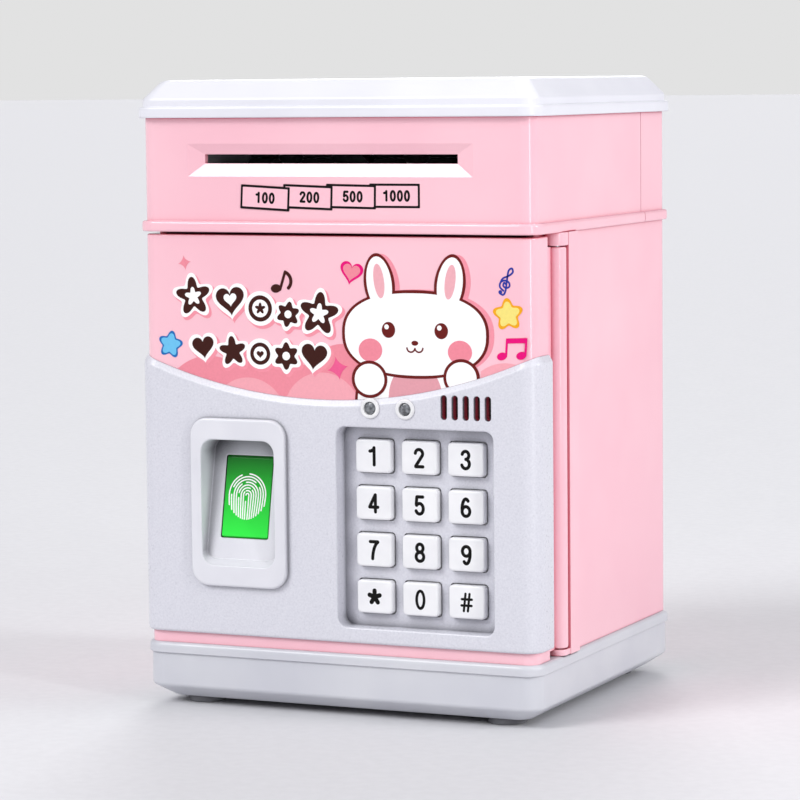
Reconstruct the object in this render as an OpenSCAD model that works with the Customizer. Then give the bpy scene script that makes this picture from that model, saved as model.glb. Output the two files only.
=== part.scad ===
// Toy safe coin bank with a keypad door, a motor note feed and a coin slot in its cap.
// Origin: on the ground under the middle of the whole bank. +Z up, front towards -Y.

/* [Housing] */
// Width across the pink side walls
wall_w = 130; // [128:0.5:132]
// Depth from the door's front to the back wall
wall_d = 115; // [114:0.5:117]
// Thickness of the moulded walls
wall_t = 2.2; // [1.8:0.1:2.4]
// Radius of the upright corners
corner_r = 4.5; // [3.5:0.5:6]
// Height of the base's top face
base_top = 18; // [18:0.1:18.4]
// Height of the hood's lower edge
hood_bottom = 147.3; // [147.2:0.1:147.8]
// Height of the hood's top edge
hood_top = 182; // [181:0.5:184]
// Height of the cap above the hood
cap_h = 11.5; // [10:0.5:14]
// How far the cap's rim stands out past the walls
cap_rim = 2; // [1.5:0.1:2.5]

/* [Base] */
// Height of the rubber feet below the base
foot_h = 2; // [1.5:0.1:2.2]
// Radius of a foot
foot_r = 6; // [5:0.5:6.5]
// How far the base's rim stands out past the walls
base_rim = 1.5; // [1:0.1:1.8]
// How far the band under the rim stands out past the walls
base_band = 0.8; // [0.4:0.1:1]
// Width of the chamfer round the bottom
base_chamfer = 6; // [5:0.5:6]

/* [Door] */
// Height of the door's top edge
door_top = 146; // [145:0.5:146.5]
// Gap between the base and the door
door_gap = 0.4; // [0.3:0.1:0.6]
// Depth of the door's shell
door_depth = 11.35; // [11.2:0.05:11.5]
// Radius of the hinge barrel
barrel_r = 3; // [2.8:0.1:3]
// Radius of the hinge pins
pin_r = 1.2; // [1:0.1:1.4]

/* [Control panel] */
// Thickness of the panel in front of the door
panel_t = 1.5; // [1.2:0.1:1.5]
// Height of the panel's lower edge
panel_bottom = 23.2; // [23:0.2:24]
// Lowest height of the panel's sagging top edge
panel_dip_z = 97; // [96.5:0.5:98]
// Radius of the panel's sagging top edge
panel_dip_r = 165; // [160:1:180]
// Depth of the keypad's recess
keypad_depth = 6.3; // [6:0.1:6.4]
// Width of a key
key_w = 11.7; // [11:0.1:12]
// Height of a key
key_h = 10.1; // [9.5:0.1:10.4]
// Distance between key columns
key_pitch_x = 15.15; // [15:0.05:15.4]
// Distance between key rows
key_pitch_z = 14.3; // [14.1:0.05:14.5]
// Travel of a key
key_travel = 1.2; // [0.8:0.1:1.2]
// Slope of the fingerprint window
window_tilt = 11.5; // [10:0.5:12]
// Width of the fingerprint window
window_w = 15.7; // [14:0.1:16]
// Length of the fingerprint window along its slope
window_l = 24.6; // [22:0.1:25]
// Travel of the fingerprint window
window_travel = 0.8; // [0.5:0.1:0.8]

/* [Note and coin slots] */
// Width of the note slot
note_slot_w = 84; // [80:1:86]
// Height of the note slot
note_slot_h = 2.8; // [2.4:0.1:3.2]
// Height of the note slot's middle
note_slot_z = 169.5; // [169.3:0.1:169.7]
// Length of the coin slot in the cap
coin_slot_l = 30; // [28:1:32]
// Width of the coin slot in the cap
coin_slot_w = 3.6; // [3.2:0.1:4]

/* [Gears] */
// Module of the note feed's gears
feed_module = 0.7; // [0.7:0.1:0.7]
// Teeth on the motor's pinion
pinion_teeth = 12; // [12:1:12]
// Teeth on the idler gear
idler_teeth = 20; // [20:1:20]
// Teeth on the drive roller's gear
drive_teeth = 24; // [24:1:24]
// Module of the lock's rack and pinion
lock_module = 0.6; // [0.6:0.1:0.6]
// Teeth on the lock's pinion
lock_teeth = 12; // [12:1:12]
// Travel of the latch bolt
latch_travel = 3.6; // [3:0.2:3.8]

/* [Hidden] */
KEYS = ["1", "2", "3", "4", "5", "6", "7", "8", "9", "star", "0", "hash"];

$fn = 48;
eps = 0.05;
half_w = wall_w / 2;
bezel_t = 1.8;
// The walls sit a little back, so that the bank's whole depth is centred on the origin
wall_shift = (panel_t + bezel_t - cap_rim) / 2;
front_y = wall_shift - wall_d / 2;
back_y = wall_shift + wall_d / 2;
in_w = half_w - wall_t;
door_back = front_y + door_depth;
body_front = door_back + 0.3;
door_bottom = base_top + door_gap;
panel_front = front_y - panel_t;
base_bottom = foot_h;
floor_z = base_top + 3.8;
foot_x = 51;
foot_y = 45;
base_screw_x = 42;
base_screw_ys = [wall_shift - 36.65, wall_shift + 39.35];

// Battery bay under the vault's floor
cell_r = 7.25;
cell_pitch = 15.2;
cell_l = 50.5;
cell_z = base_bottom + 9.35;
bay_x = 31.2;
bay_y = [-15.7, 31.7];
bay_mid_y = (bay_y[0] + bay_y[1]) / 2;
bay_top = base_top + 1.8;
cover_x = 36;
cover_y = [-26, 36];
cover_t = 1.7;
cover_screw_y = -21;

// Hinge
hinge_x = 63.9;
hinge_y = front_y + 20.85;
barrel_z = [22, 143];
knuckle_r = 3.4;
strip_y = [hinge_y + 2.4, hinge_y + 10];
strip_x = half_w + 2;
pocket_x = 60.3;

// Hood
ridge_top = hood_bottom + 3.2;
hood_seam_y = 34.2;
deck_z = [hood_bottom, hood_bottom + 2];
note_drop_y = [-2, 23];
coin_y = 36;
slot_x = -1.5;
recess_w = 94.5;
recess_h = 9.8;
recess_depth = 1.5;
hood_screw_x = 59.1;
hood_boss_r = 3.8;
hood_screw_ys = [-46, 49];

// Note feed
shaft_r = 1.5;
run_gap = 0.05;
drive_ring_r = 6.1;
pinch_ring_r = 4.4;
roller_y = -41.5;
drive_z = note_slot_z - 0.2 - drive_ring_r;
pinch_z = note_slot_z + 0.3 + pinch_ring_r;
ring_xs = [-30, -12, 12, 30];
ring_l = 8;
cheek_x = 48.5;
cheek_t = 2;
gear_x = -54.5;
gear_t = 3;
drive_pitch_r = feed_module * drive_teeth / 2;
idler_pitch_r = feed_module * idler_teeth / 2;
pinion_pitch_r = feed_module * pinion_teeth / 2;
idler_dir = -15;
idler_y = roller_y + (drive_pitch_r + idler_pitch_r) * cos(idler_dir);
idler_z = drive_z + (drive_pitch_r + idler_pitch_r) * sin(idler_dir);
motor_y = idler_y + idler_pitch_r + pinion_pitch_r;
motor_z = idler_z;
motor_shaft_r = 1;
lever_y = -23.5;
lever_z = 165.3;

// Keypad and fingerprint window
keypad_x = 26.6;
keypad_z = 58.6;
keypad_w = 51.3;
keypad_h = 61;
well_t = 1.3;
keypad_floor = panel_front + keypad_depth;
key_front = panel_front + 4;
key_flange = keypad_floor + well_t + 0.1;
key_back = key_flange + 0.8;
mat_y = key_back + key_travel + 0.3;
board_y = mat_y + 0.5;
liner_y = door_back - 1.2;
bezel_x = -31.7;
bezel_z = 64.5;
bezel_w = 32.4;
bezel_h = 52;
bezel_in_w = 24.8;
bezel_in_h = 38.7;
bezel_front = panel_front - bezel_t;
window_y = front_y + 3.3;
window_z = 65.7;
led_xs = [12.5, 24];
led_z = 95;
speaker_x = 43.6;
grille_z = 95.9;
speaker_z = 101.2;

// Lock
lock_pitch_r = lock_module * lock_teeth / 2;
lock_x = -40;
lock_z = 110;
rack_y = -42;
lock_y = rack_y - lock_pitch_r;
bolt_y = [rack_y + 0.65, rack_y + 4];
bolt_x = [latch_travel + 1.4 - in_w, -28];
latch_x = [-57, -22];
latch_z = [101, 143];
latch_cover_y = bolt_y[1] + 1.8;
post_xs = [-58.5, -8, 58.5];
post_zs = [26, 138];

// Outline of a rounded rectangle: rear and front corners have their own radius
function arc_points(cx, cy, r, a0, a1) =
    r <= 0 ? [[cx, cy]]
    : [for (i = [0:8]) [cx + r * cos(a0 + (a1 - a0) * i / 8), cy + r * sin(a0 + (a1 - a0) * i / 8)]];
function rounded_points(x0, x1, y0, y1, rf, rb) = concat(
    arc_points(x0 + rf, y0 + rf, rf, 180, 270),
    arc_points(x1 - rf, y0 + rf, rf, 270, 360),
    arc_points(x1 - rb, y1 - rb, rb, 0, 90),
    arc_points(x0 + rb, y1 - rb, rb, 90, 180)
);

// Upright slab with rounded corners
module slab(x0, x1, y0, y1, z0, z1, rf, rb) {
    translate([0, 0, z0])
        linear_extrude(z1 - z0)
            polygon(rounded_points(x0, x1, y0, y1, rf, rb));
}

// Slab that stands out past the walls by a margin
module wall_slab(margin, z0, z1, r) {
    slab(-half_w - margin, half_w + margin, front_y - margin, back_y + margin, z0, z1, r, r);
}

// Block between two corners
module block(x0, x1, y0, y1, z0, z1) {
    translate([x0, y0, z0])
        cube([x1 - x0, y1 - y0, z1 - z0]);
}

// Plate with rounded corners that faces the front, from y0 back to y1
module front_plate(x, z, w, h, r, y0, y1) {
    translate([x, y1, z])
        rotate([90, 0, 0])
            linear_extrude(y1 - y0)
                polygon(rounded_points(-w / 2, w / 2, -h / 2, h / 2, r, r));
}

// Rods along the three axes, from the point given
module rod_x(x, y, z, r, l) {
    translate([x, y, z])
        rotate([0, 90, 0])
            cylinder(r = r, h = l);
}
module rod_y(x, y, z, r, l) {
    translate([x, y, z])
        rotate([-90, 0, 0])
            cylinder(r = r, h = l);
}
module rod_z(x, y, z, r, l) {
    translate([x, y, z])
        cylinder(r = r, h = l);
}

// Outline of a gear with involute teeth, one of them on the X axis
PRESSURE = 25;
function involute_x(base, roll) = base * (cos(roll) + roll * PI / 180 * sin(roll));
function involute_y(base, roll) = base * (sin(roll) - roll * PI / 180 * cos(roll));
function roll_at(base, r) = sqrt(max(0, pow(r / base, 2) - 1)) * 180 / PI;
function polar_angle(base, roll) = atan2(involute_y(base, roll), involute_x(base, roll));
function gear_points(m, teeth) =
    let (pitch = m * teeth / 2)
    let (base = pitch * cos(PRESSURE))
    let (root = pitch - 1.15 * m)
    let (tip = pitch + 0.85 * m)
    let (low = max(base, root))
    let (half = 90 / teeth * 0.86 + polar_angle(base, roll_at(base, pitch)))
    [for (i = [0:teeth - 1]) let (mid = i * 360 / teeth)
        each concat(
            [[root * cos(mid - half), root * sin(mid - half)]],
            [for (k = [0:4]) let (r = low + (tip - low) * k / 4)
                let (a = mid - half + polar_angle(base, roll_at(base, r))) [r * cos(a), r * sin(a)]],
            [for (k = [4:-1:0]) let (r = low + (tip - low) * k / 4)
                let (a = mid + half - polar_angle(base, roll_at(base, r))) [r * cos(a), r * sin(a)]],
            [[root * cos(mid + half), root * sin(mid + half)]]
        )];

// How far a driven gear is turned so that a gap meets its driver's tooth
function mesh_turn(dir, driver_turn, driver_teeth, driven_teeth) =
    dir + 180 + (dir - driver_turn) * driver_teeth / driven_teeth + 180 / driven_teeth;
drive_turn = idler_dir;
idler_turn = mesh_turn(idler_dir, drive_turn, drive_teeth, idler_teeth);
pinion_turn = mesh_turn(0, idler_turn, idler_teeth, pinion_teeth);

// Gear of the note feed, turned about a line along X, with a bore
module feed_gear(teeth, y, z, turn, bore) {
    translate([gear_x, y, z])
        rotate([90, 0, 90])
            difference() {
                rotate([0, 0, turn])
                    linear_extrude(gear_t)
                        polygon(gear_points(feed_module, teeth));
                translate([0, 0, -1])
                    cylinder(r = bore, h = gear_t + 2);
            }
}

// Self-tapping screw whose head points down
module upright_screw(x, y, head_z, head_r, head_h, shank_r, shank_l) {
    rod_z(x, y, head_z, head_r, head_h);
    rod_z(x, y, head_z + head_h - eps, shank_r, shank_l);
}

// ---------- base ----------

module base_tray() {
    color("lightgray")
        difference() {
            union() {
                hull() {
                    wall_slab(base_band - base_chamfer, base_bottom, base_bottom + 0.1, 4);
                    wall_slab(base_band, base_bottom + 4, base_bottom + 4.1, 6);
                }
                wall_slab(base_band, base_bottom + 4, base_top - 3.4, 6);
                wall_slab(base_rim, base_top - 3.5, base_top, 6.5);
            }
            difference() {
                union() {
                    block(-in_w, in_w, body_front + 2.2, back_y - wall_t, base_bottom + 6, base_top + 1);
                    block(-56, 56, body_front + 2.2, back_y - 8, base_bottom + 2.4, base_top);
                    block(-60, 60, front_y + wall_t, body_front + 2.3, base_bottom + 5, base_top - 2);
                }
                block(-bay_x - 1.8, bay_x + 1.8, bay_y[0] - 1.8, bay_y[1] + 1.8, 0, base_top + 1);
                rod_z(0, cover_screw_y, 0, 3.4, 11);
                for (x = [-base_screw_x, base_screw_x], y = base_screw_ys)
                    rod_z(x, y, 0, 4.5, 8);
            }
            block(-bay_x, bay_x, bay_y[0], bay_y[1], 0, bay_top - 1);
            block(-cover_x, cover_x, cover_y[0], cover_y[1], 0, base_bottom + 1.8);
            rod_z(0, cover_screw_y, 0, 1.15, 10);
            for (x = [-base_screw_x, base_screw_x], y = base_screw_ys) {
                rod_z(x, y, 0, 1.7, 10);
                rod_z(x, y, 0, 3.3, 5);
            }
            for (x = [-foot_x, foot_x], y = [-foot_y, foot_y])
                rod_z(x, y, 0, foot_r + 0.15, base_bottom + 0.8);
        }
    color("lightgray")
        block(-bay_x - 1.8, bay_x + 1.8, bay_y[0] - 1.8, bay_y[1] + 1.8, bay_top - 1, bay_top);
}

module feet() {
    color("dimgray")
        for (x = [-foot_x, foot_x], y = [-foot_y, foot_y])
            rod_z(x, y, 0, foot_r, base_bottom + 0.8);
}

module battery_cover() {
    gap = 0.2;
    color("silver")
        difference() {
            block(-cover_x + gap, cover_x - gap, cover_y[0] + gap, cover_y[1] - gap,
                base_bottom + 0.1, base_bottom + 0.1 + cover_t);
            rod_z(0, cover_screw_y, 0, 1.5, 10);
            rod_z(0, cover_screw_y, 0, 2.8, base_bottom + 0.8);
            for (i = [0:5])
                block(-8, 8, 26 + 1.4 * i, 26.7 + 1.4 * i, 0, base_bottom + 0.6);
        }
}

module battery_cover_screw() {
    color("silver")
        upright_screw(0, cover_screw_y, base_bottom + 0.2, 2.6, 0.6, 1.1, 7);
}

module aa_cells() {
    color("darkgreen")
        for (i = [-1:1]) {
            flip = i == 0 ? -1 : 1;
            y = bay_mid_y + i * cell_pitch;
            rod_x(-cell_l / 2 + (flip < 0 ? 1.5 : 0), y, cell_z, cell_r, cell_l - 1.5);
            rod_x(flip < 0 ? -cell_l / 2 : cell_l / 2 - 1.6, y, cell_z, 2.6, 1.6);
        }
}

module battery_contacts() {
    color("goldenrod")
        for (i = [-1:1], side = [-1, 1]) {
            y = bay_mid_y + i * cell_pitch;
            spring = (i == 0) == (side > 0);
            plate_x = side * (bay_x - 0.6);
            block(min(plate_x, side * bay_x), max(plate_x, side * bay_x), y - 5.5, y + 5.5,
                base_bottom + 3.5, bay_top - 2);
            reach = bay_x - 0.6 - cell_l / 2;
            if (spring)
                for (k = [0:3])
                    translate([side * (cell_l / 2 + 0.6 + k * (reach - 0.9) / 3), y, cell_z])
                        rotate([0, 90, 0])
                            rotate_extrude()
                                translate([2.4 + 0.5 * k, 0])
                                    circle(r = 0.4, $fn = 16);
            else
                rod_x(side > 0 ? cell_l / 2 : -cell_l / 2 - reach, y, cell_z, 2.2, reach);
        }
}

module base_screws() {
    color("silver")
        for (x = [-base_screw_x, base_screw_x], y = base_screw_ys)
            upright_screw(x, y, base_bottom + 1, 3, 2, 1.45, 12);
}

// ---------- housing ----------

module body_shell() {
    color("pink")
        difference() {
            union() {
                difference() {
                    slab(-half_w, half_w, body_front, back_y, base_top, hood_bottom, 0, corner_r);
                    block(-in_w, in_w, body_front - 1, back_y - wall_t, floor_z, hood_bottom + 1);
                    block(-in_w, in_w, body_front + wall_t, back_y - wall_t, 0, floor_z - 1.8);
                }
                block(pocket_x - 2, half_w, body_front, hinge_y + 5.3, base_top, hood_bottom);
                block(half_w - 1, strip_x, strip_y[0], strip_y[1], base_top, hood_bottom);
                for (x = [-base_screw_x, base_screw_x], y = base_screw_ys)
                    rod_z(x, y, 8.1, 4, floor_z - 9);
            }
            block(pocket_x, strip_x + 1, body_front - 1, hinge_y, base_top - 1, hood_bottom + 1);
            rod_z(hinge_x, hinge_y, base_top - 1, knuckle_r - 0.05, hood_bottom);
            for (x = [-base_screw_x, base_screw_x], y = base_screw_ys)
                rod_z(x, y, 0, 1.5, base_top);
        }
    for (z = [[base_top, barrel_z[0] - 0.3], [barrel_z[1] + 0.3, hood_bottom]])
        color("pink")
            difference() {
                union() {
                    rod_z(hinge_x - 0.3, hinge_y, z[0], knuckle_r, z[1] - z[0]);
                    block(pocket_x - 0.5, hinge_x, hinge_y, hinge_y + 4, z[0], z[1]);
                    block(hinge_x - 1, strip_x - 0.2, hinge_y, hinge_y + 4, z[0], z[1]);
                }
                rod_z(hinge_x, hinge_y, z[0] - 1, pin_r, z[1] - z[0] + 2);
            }
}

module strike_plate() {
    y0 = bolt_y[0] - 3.2;
    color("lightsteelblue") {
        block(-in_w, -in_w + 1, y0, bolt_y[1] + 9, lock_z - 8, lock_z + 8);
        block(-in_w, -in_w + 4, y0, y0 + 2.4, lock_z - 8, lock_z + 8);
    }
}

module hinge_pins() {
    color("silver") {
        rod_z(hinge_x, hinge_y, base_top + 0.3, pin_r, 8.5);
        rod_z(hinge_x, hinge_y, hood_bottom - 9.3, pin_r, 9);
    }
}

module hood_deck() {
    color("mistyrose")
        difference() {
            block(-in_w + 0.15, in_w - 0.15, front_y + wall_t + 0.15, back_y - wall_t - 0.15,
                deck_z[0], deck_z[1]);
            block(-44, 44, note_drop_y[0], note_drop_y[1], 0, 200);
            block(-17.2, 17.2, coin_y - 2.7, coin_y + 2.7, 0, 200);
            for (x = [-hood_screw_x, hood_screw_x], y = hood_screw_ys) {
                rod_z(x, y, 0, 1.6, 200);
                rod_z(x, y, 0, 2.95, deck_z[0] + 1.2);
            }
        }
}

// Ring of the hood between two depths, with its ridge
module hood_ring(y0, y1, inner_y0, inner_y1, rf, rb) {
    difference() {
        union() {
            slab(-half_w, half_w, y0, y1, ridge_top - 0.1, hood_top, rf, rb);
            slab(-half_w - 1.5, half_w + 1.5, y0 - (rf > 0 ? 1.5 : 0), y1 + (rb > 0 ? 1.5 : 0),
                hood_bottom, ridge_top, rf > 0 ? rf + 1.5 : 0, rb > 0 ? rb + 1.5 : 0);
        }
        block(-in_w, in_w, inner_y0, inner_y1, hood_bottom - 1, hood_top + 1);
    }
}

module hood_shell() {
    color("pink")
        difference() {
            union() {
                hood_ring(front_y, hood_seam_y, front_y + wall_t, hood_seam_y + 1, corner_r, 0);
                for (x = [-hood_screw_x, hood_screw_x])
                    rod_z(x, hood_screw_ys[0], deck_z[1], hood_boss_r, 14);
                block(-48, 46, front_y + wall_t - 0.1, front_y + wall_t + 1.2,
                    note_slot_z - 3.4, note_slot_z + 3.4);
            }
            hull() {
                front_plate(slot_x, note_slot_z - 0.4, recess_w, recess_h, 0, front_y - 0.1, front_y);
                front_plate(slot_x, note_slot_z, note_slot_w, note_slot_h, 0,
                    front_y + recess_depth, front_y + recess_depth + 0.1);
            }
            front_plate(slot_x, note_slot_z, note_slot_w, note_slot_h, 0, front_y, front_y + 6);
            for (x = [-hood_screw_x, hood_screw_x])
                rod_z(x, hood_screw_ys[0], 0, 1.3, deck_z[1] + 11);
        }
}

module hood_rear() {
    color("pink")
        difference() {
            union() {
                hood_ring(hood_seam_y + 0.3, back_y, hood_seam_y - 1, back_y - wall_t, 0, corner_r);
                for (x = [-hood_screw_x, hood_screw_x])
                    rod_z(x, hood_screw_ys[1], deck_z[1], hood_boss_r, 14);
            }
            for (x = [-hood_screw_x, hood_screw_x])
                rod_z(x, hood_screw_ys[1], 0, 1.3, deck_z[1] + 11);
        }
}

module hood_screws() {
    color("silver")
        for (x = [-hood_screw_x, hood_screw_x], y = hood_screw_ys)
            upright_screw(x, y, deck_z[0] + 0.05, 2.8, 1.1, 1.25, 10);
}

module top_cap() {
    slope = 5;
    plateau = hood_top + cap_h;
    color("whitesmoke")
        difference() {
            union() {
                wall_slab(cap_rim, hood_top, hood_top + 3.4, 6.5);
                wall_slab(0.8, hood_top + 3.3, hood_top + 5.7, 5.5);
                hull() {
                    wall_slab(0.8, hood_top + 5.6, hood_top + 5.7, 5.5);
                    wall_slab(0.8 - slope, plateau - 0.1, plateau, 4);
                }
            }
            slab(-in_w, in_w, front_y + wall_t, back_y - wall_t, 0, hood_top + 3.5, 3, 3);
            hull() {
                slab(-in_w, in_w, front_y + wall_t, back_y - wall_t, hood_top + 3.4, hood_top + 3.5, 3, 3);
                slab(-in_w + slope, in_w - slope, front_y + wall_t + slope, back_y - wall_t - slope,
                    plateau - wall_t, plateau - wall_t + 0.1, 2, 2);
            }
            block(-coin_slot_l / 2, coin_slot_l / 2, coin_y - coin_slot_w / 2, coin_y + coin_slot_w / 2,
                0, plateau + 1);
        }
}

module coin_chute() {
    top = hood_top + cap_h - wall_t;
    color("whitesmoke")
        difference() {
            union() {
                block(-18.6, 18.6, coin_y - 4, coin_y + 4, deck_z[1], top);
                block(-22, 22, coin_y - 6, coin_y + 6, deck_z[1], deck_z[1] + 1.4);
            }
            block(-17.2, 17.2, coin_y - 2.6, coin_y + 2.6, 0, 300);
        }
}

// ---------- note feed ----------

module feed_frame() {
    z0 = deck_z[1];
    left = -cheek_x - cheek_t;
    color("gainsboro")
        difference() {
            union() {
                block(left, -cheek_x, roller_y - 8, motor_y + 9, z0, z0 + 21);
                block(left, -cheek_x, roller_y - 8, roller_y + 7, z0, pinch_z + 5);
                block(cheek_x, cheek_x + cheek_t, roller_y - 8, roller_y + 7, z0, pinch_z + 5);
                block(-cheek_x - 1, cheek_x + 1, roller_y - 5, roller_y + 5, z0, z0 + 1.6);
                block(-3.5, 4.5, roller_y + 4, lever_y + 3, z0, z0 + 1.6);
                block(-3.5, 4.5, lever_y - 9, lever_y + 3, z0 + 1.5, lever_z - 7.2);
                rod_x(gear_x - 0.6, idler_y, idler_z, shaft_r, left - gear_x + 1);
            }
            for (z = [drive_z, pinch_z])
                rod_x(-70, roller_y, z, shaft_r + run_gap, 140);
            rod_x(-70, motor_y, motor_z, 3.1, 30);
        }
}

module note_motor() {
    can_x = -cheek_x + 0.1;
    color("silver") {
        intersection() {
            block(can_x, can_x + 25, motor_y - 10.2, motor_y + 10.2, motor_z - 7.6, motor_z + 7.6);
            rod_x(can_x, motor_y, motor_z, 10.2, 25);
        }
        rod_x(can_x - 1.8, motor_y, motor_z, 3, 2);
        rod_x(gear_x - 0.6, motor_y, motor_z, motor_shaft_r, can_x - gear_x);
    }
}

module note_guide() {
    bend = 20;
    t = 1.4;
    y0 = roller_y + 9;
    y1 = note_drop_y[1] - 0.5 - bend;
    z1 = note_slot_z + 2.2 + t;
    color("whitesmoke")
        difference() {
            union() {
                block(-44, 44, y0, y1 + 0.1, z1 - t, z1);
                translate([-44, y1, z1 - bend])
                    rotate([90, 0, 90])
                        rotate_extrude(angle = 90)
                            translate([bend - t, 0])
                                square([t, 88]);
                for (x = [-45.4, 44])
                    block(x, x + 1.4, -3, y1 + bend, deck_z[1], z1);
                for (x = [-34, 32.6])
                    block(x, x + 1.4, y0, -3, z1 - 0.1, z1 + 2.4);
            }
            block(-4, 5, y0 - 1, lever_y + 1, z1 - t - 1, z1 + 1);
        }
}

module note_switch() {
    color("dimgray")
        difference() {
            union() {
                block(-2.4, 3.4, lever_y - 8.8, lever_y + 1.6, lever_z - 7.2, lever_z - 2);
                for (x = [-2.4, 2.4])
                    block(x, x + 1, lever_y - 1.6, lever_y + 1.6, lever_z - 2.1, lever_z + 1.2);
            }
            rod_x(-3, lever_y, lever_z, 0.55, 8);
        }
}

module switch_lever() {
    color("silver") {
        rod_x(-2.6, lever_y, lever_z, 0.5, 6.2);
        translate([0, lever_y, lever_z])
            rotate([-26, 0, 0])
                block(-1, 2, -11, 0.2, 0.1, 0.6);
    }
}

module drive_shaft() {
    color("silver")
        rod_x(gear_x - 0.5, roller_y, drive_z, shaft_r, cheek_x + cheek_t + 1.5 - gear_x);
}

module drive_gear() {
    color("ivory")
        feed_gear(drive_teeth, roller_y, drive_z, drive_turn, shaft_r);
}

// Rubber rings along a shaft
module rings(z, r) {
    for (x = ring_xs)
        difference() {
            rod_x(x - ring_l / 2, roller_y, z, r, ring_l);
            rod_x(x - ring_l, roller_y, z, shaft_r, 2 * ring_l);
        }
}

module drive_rings() {
    color("dimgray")
        rings(drive_z, drive_ring_r);
}

module pinch_shaft() {
    color("silver")
        rod_x(-cheek_x - cheek_t - 1, roller_y, pinch_z, shaft_r, 2 * (cheek_x + cheek_t + 1));
}

module pinch_rings() {
    color("dimgray")
        rings(pinch_z, pinch_ring_r);
}

module idler_gear() {
    color("ivory")
        feed_gear(idler_teeth, idler_y, idler_z, idler_turn, shaft_r + run_gap);
}

module motor_pinion() {
    color("goldenrod")
        feed_gear(pinion_teeth, motor_y, motor_z, pinion_turn, motor_shaft_r + run_gap);
}

// ---------- door ----------

// Space that the fingerprint well takes in the door, with a margin
module well_space(margin, y0) {
    front_plate(bezel_x, bezel_z, bezel_in_w + 2 * margin, bezel_in_h + 2 * margin, 4, y0, door_back - 2);
}

// Everything in front of a plane that lies a distance behind the window's face
module window_front(behind) {
    translate([bezel_x, window_y, window_z])
        rotate([-window_tilt, 0, 0])
            block(-30, 30, -30, behind, -40, 40);
}

module speaker_slots(y0, y1) {
    for (i = [-2:2])
        front_plate(speaker_x + i * 3.55, grille_z, 2, 7.4, 0.98, y0, y1);
}

module door_shell() {
    color("pink")
        difference() {
            union() {
                slab(-half_w, half_w, front_y, door_back, door_bottom, door_top, corner_r, 0);
                block(61.3, 63.3, door_back - 1, hinge_y - 1, barrel_z[0], barrel_z[1]);
                rod_z(hinge_x, hinge_y, barrel_z[0], barrel_r, barrel_z[1] - barrel_z[0]);
            }
            difference() {
                block(-in_w, in_w - 1.6, front_y + wall_t, door_back + 1, door_bottom + 2, door_top - 2);
                for (x = post_xs, z = post_zs)
                    rod_y(x, front_y, z, 2.7, liner_y - front_y);
            }
            for (x = post_xs, z = post_zs)
                rod_y(x, front_y + 3.5, z, 1.1, 20);
            front_plate(keypad_x, keypad_z, keypad_w + 2.8, keypad_h + 2.8, 3, -70, front_y + wall_t + 1);
            front_plate(bezel_x, bezel_z, bezel_in_w + 2.8, bezel_in_h + 2.8, 4, -70, front_y + wall_t + 1);
            speaker_slots(-70, front_y + wall_t + 1);
            for (x = led_xs)
                rod_y(x, -70, led_z, 2.7, 20);
            rod_z(hinge_x, hinge_y, 0, pin_r + run_gap, hood_top);
        }
}

module control_panel() {
    side = half_w + panel_t;
    color("lightgray") {
        difference() {
            slab(-side, side, panel_front, door_back - 0.4, panel_bottom, panel_dip_z + 20, corner_r + panel_t, 0);
            slab(-half_w, half_w, front_y, 0, 0, 200, corner_r, 0);
            rod_y(-2.5, -80, panel_dip_z + panel_dip_r, panel_dip_r, 60);
            front_plate(keypad_x, keypad_z, keypad_w, keypad_h, 2.8, -70, front_y + 1);
            front_plate(bezel_x, bezel_z, bezel_in_w + 2.8, bezel_in_h + 2.8, 4, -70, front_y + 1);
            speaker_slots(-70, front_y + 1);
            for (x = led_xs)
                rod_y(x, -70, led_z, 2.7, 20);
        }
        difference() {
            front_plate(keypad_x, keypad_z, keypad_w + 2 * well_t, keypad_h + 2 * well_t, 3,
                front_y, keypad_floor + well_t);
            front_plate(keypad_x, keypad_z, keypad_w, keypad_h, 2.8, -70, keypad_floor);
            for (i = [-1:1], j = [-1.5:1:1.5])
                front_plate(keypad_x + i * key_pitch_x, keypad_z + j * key_pitch_z,
                    key_w + 0.7, key_h + 0.7, 1.2, -70, -40);
        }
    }
}

module fingerprint_bezel() {
    color("lightgray")
        difference() {
            union() {
                front_plate(bezel_x, bezel_z, bezel_w, bezel_h, 5.5, bezel_front, panel_front);
                intersection() {
                    well_space(well_t, panel_front - 0.1);
                    window_front(well_t);
                }
            }
            intersection() {
                well_space(0, -70);
                window_front(0);
            }
            translate([bezel_x, window_y, window_z])
                rotate([-window_tilt, 0, 0])
                    block(-window_w / 2 - 0.3, window_w / 2 + 0.3, -1, 5, -window_l / 2 - 0.3, window_l / 2 + 0.3);
        }
}

module fingerprint_window() {
    color("limegreen")
        translate([bezel_x, window_y, window_z])
            rotate([-window_tilt, 0, 0]) {
                block(-window_w / 2, window_w / 2, 0.1, well_t + 0.3, -window_l / 2, window_l / 2);
                block(-window_w / 2 - 1.2, window_w / 2 + 1.2, well_t + 0.2, well_t + 0.9,
                    -window_l / 2 - 1.2, window_l / 2 + 1.2);
            }
}

module window_board() {
    color("darkgreen")
        translate([bezel_x, window_y, window_z])
            rotate([-window_tilt, 0, 0])
                block(-9, 9, well_t + 1.1 + window_travel, well_t + 1.9 + window_travel, -14, 10);
}

module door_liner() {
    color("mistyrose")
        difference() {
            block(-in_w + 0.2, in_w - 1.8, liner_y, door_back, door_bottom + 2.2, door_top - 2.2);
            block(lock_x - 8, lock_x + 8, -60, 0, lock_z - 6, latch_z[1] - 3);
            for (x = post_xs, z = post_zs) {
                rod_y(x, -60, z, 1.3, 30);
                rod_y(x, door_back - 0.8, z, 2.6, 5);
            }
        }
}

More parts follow.
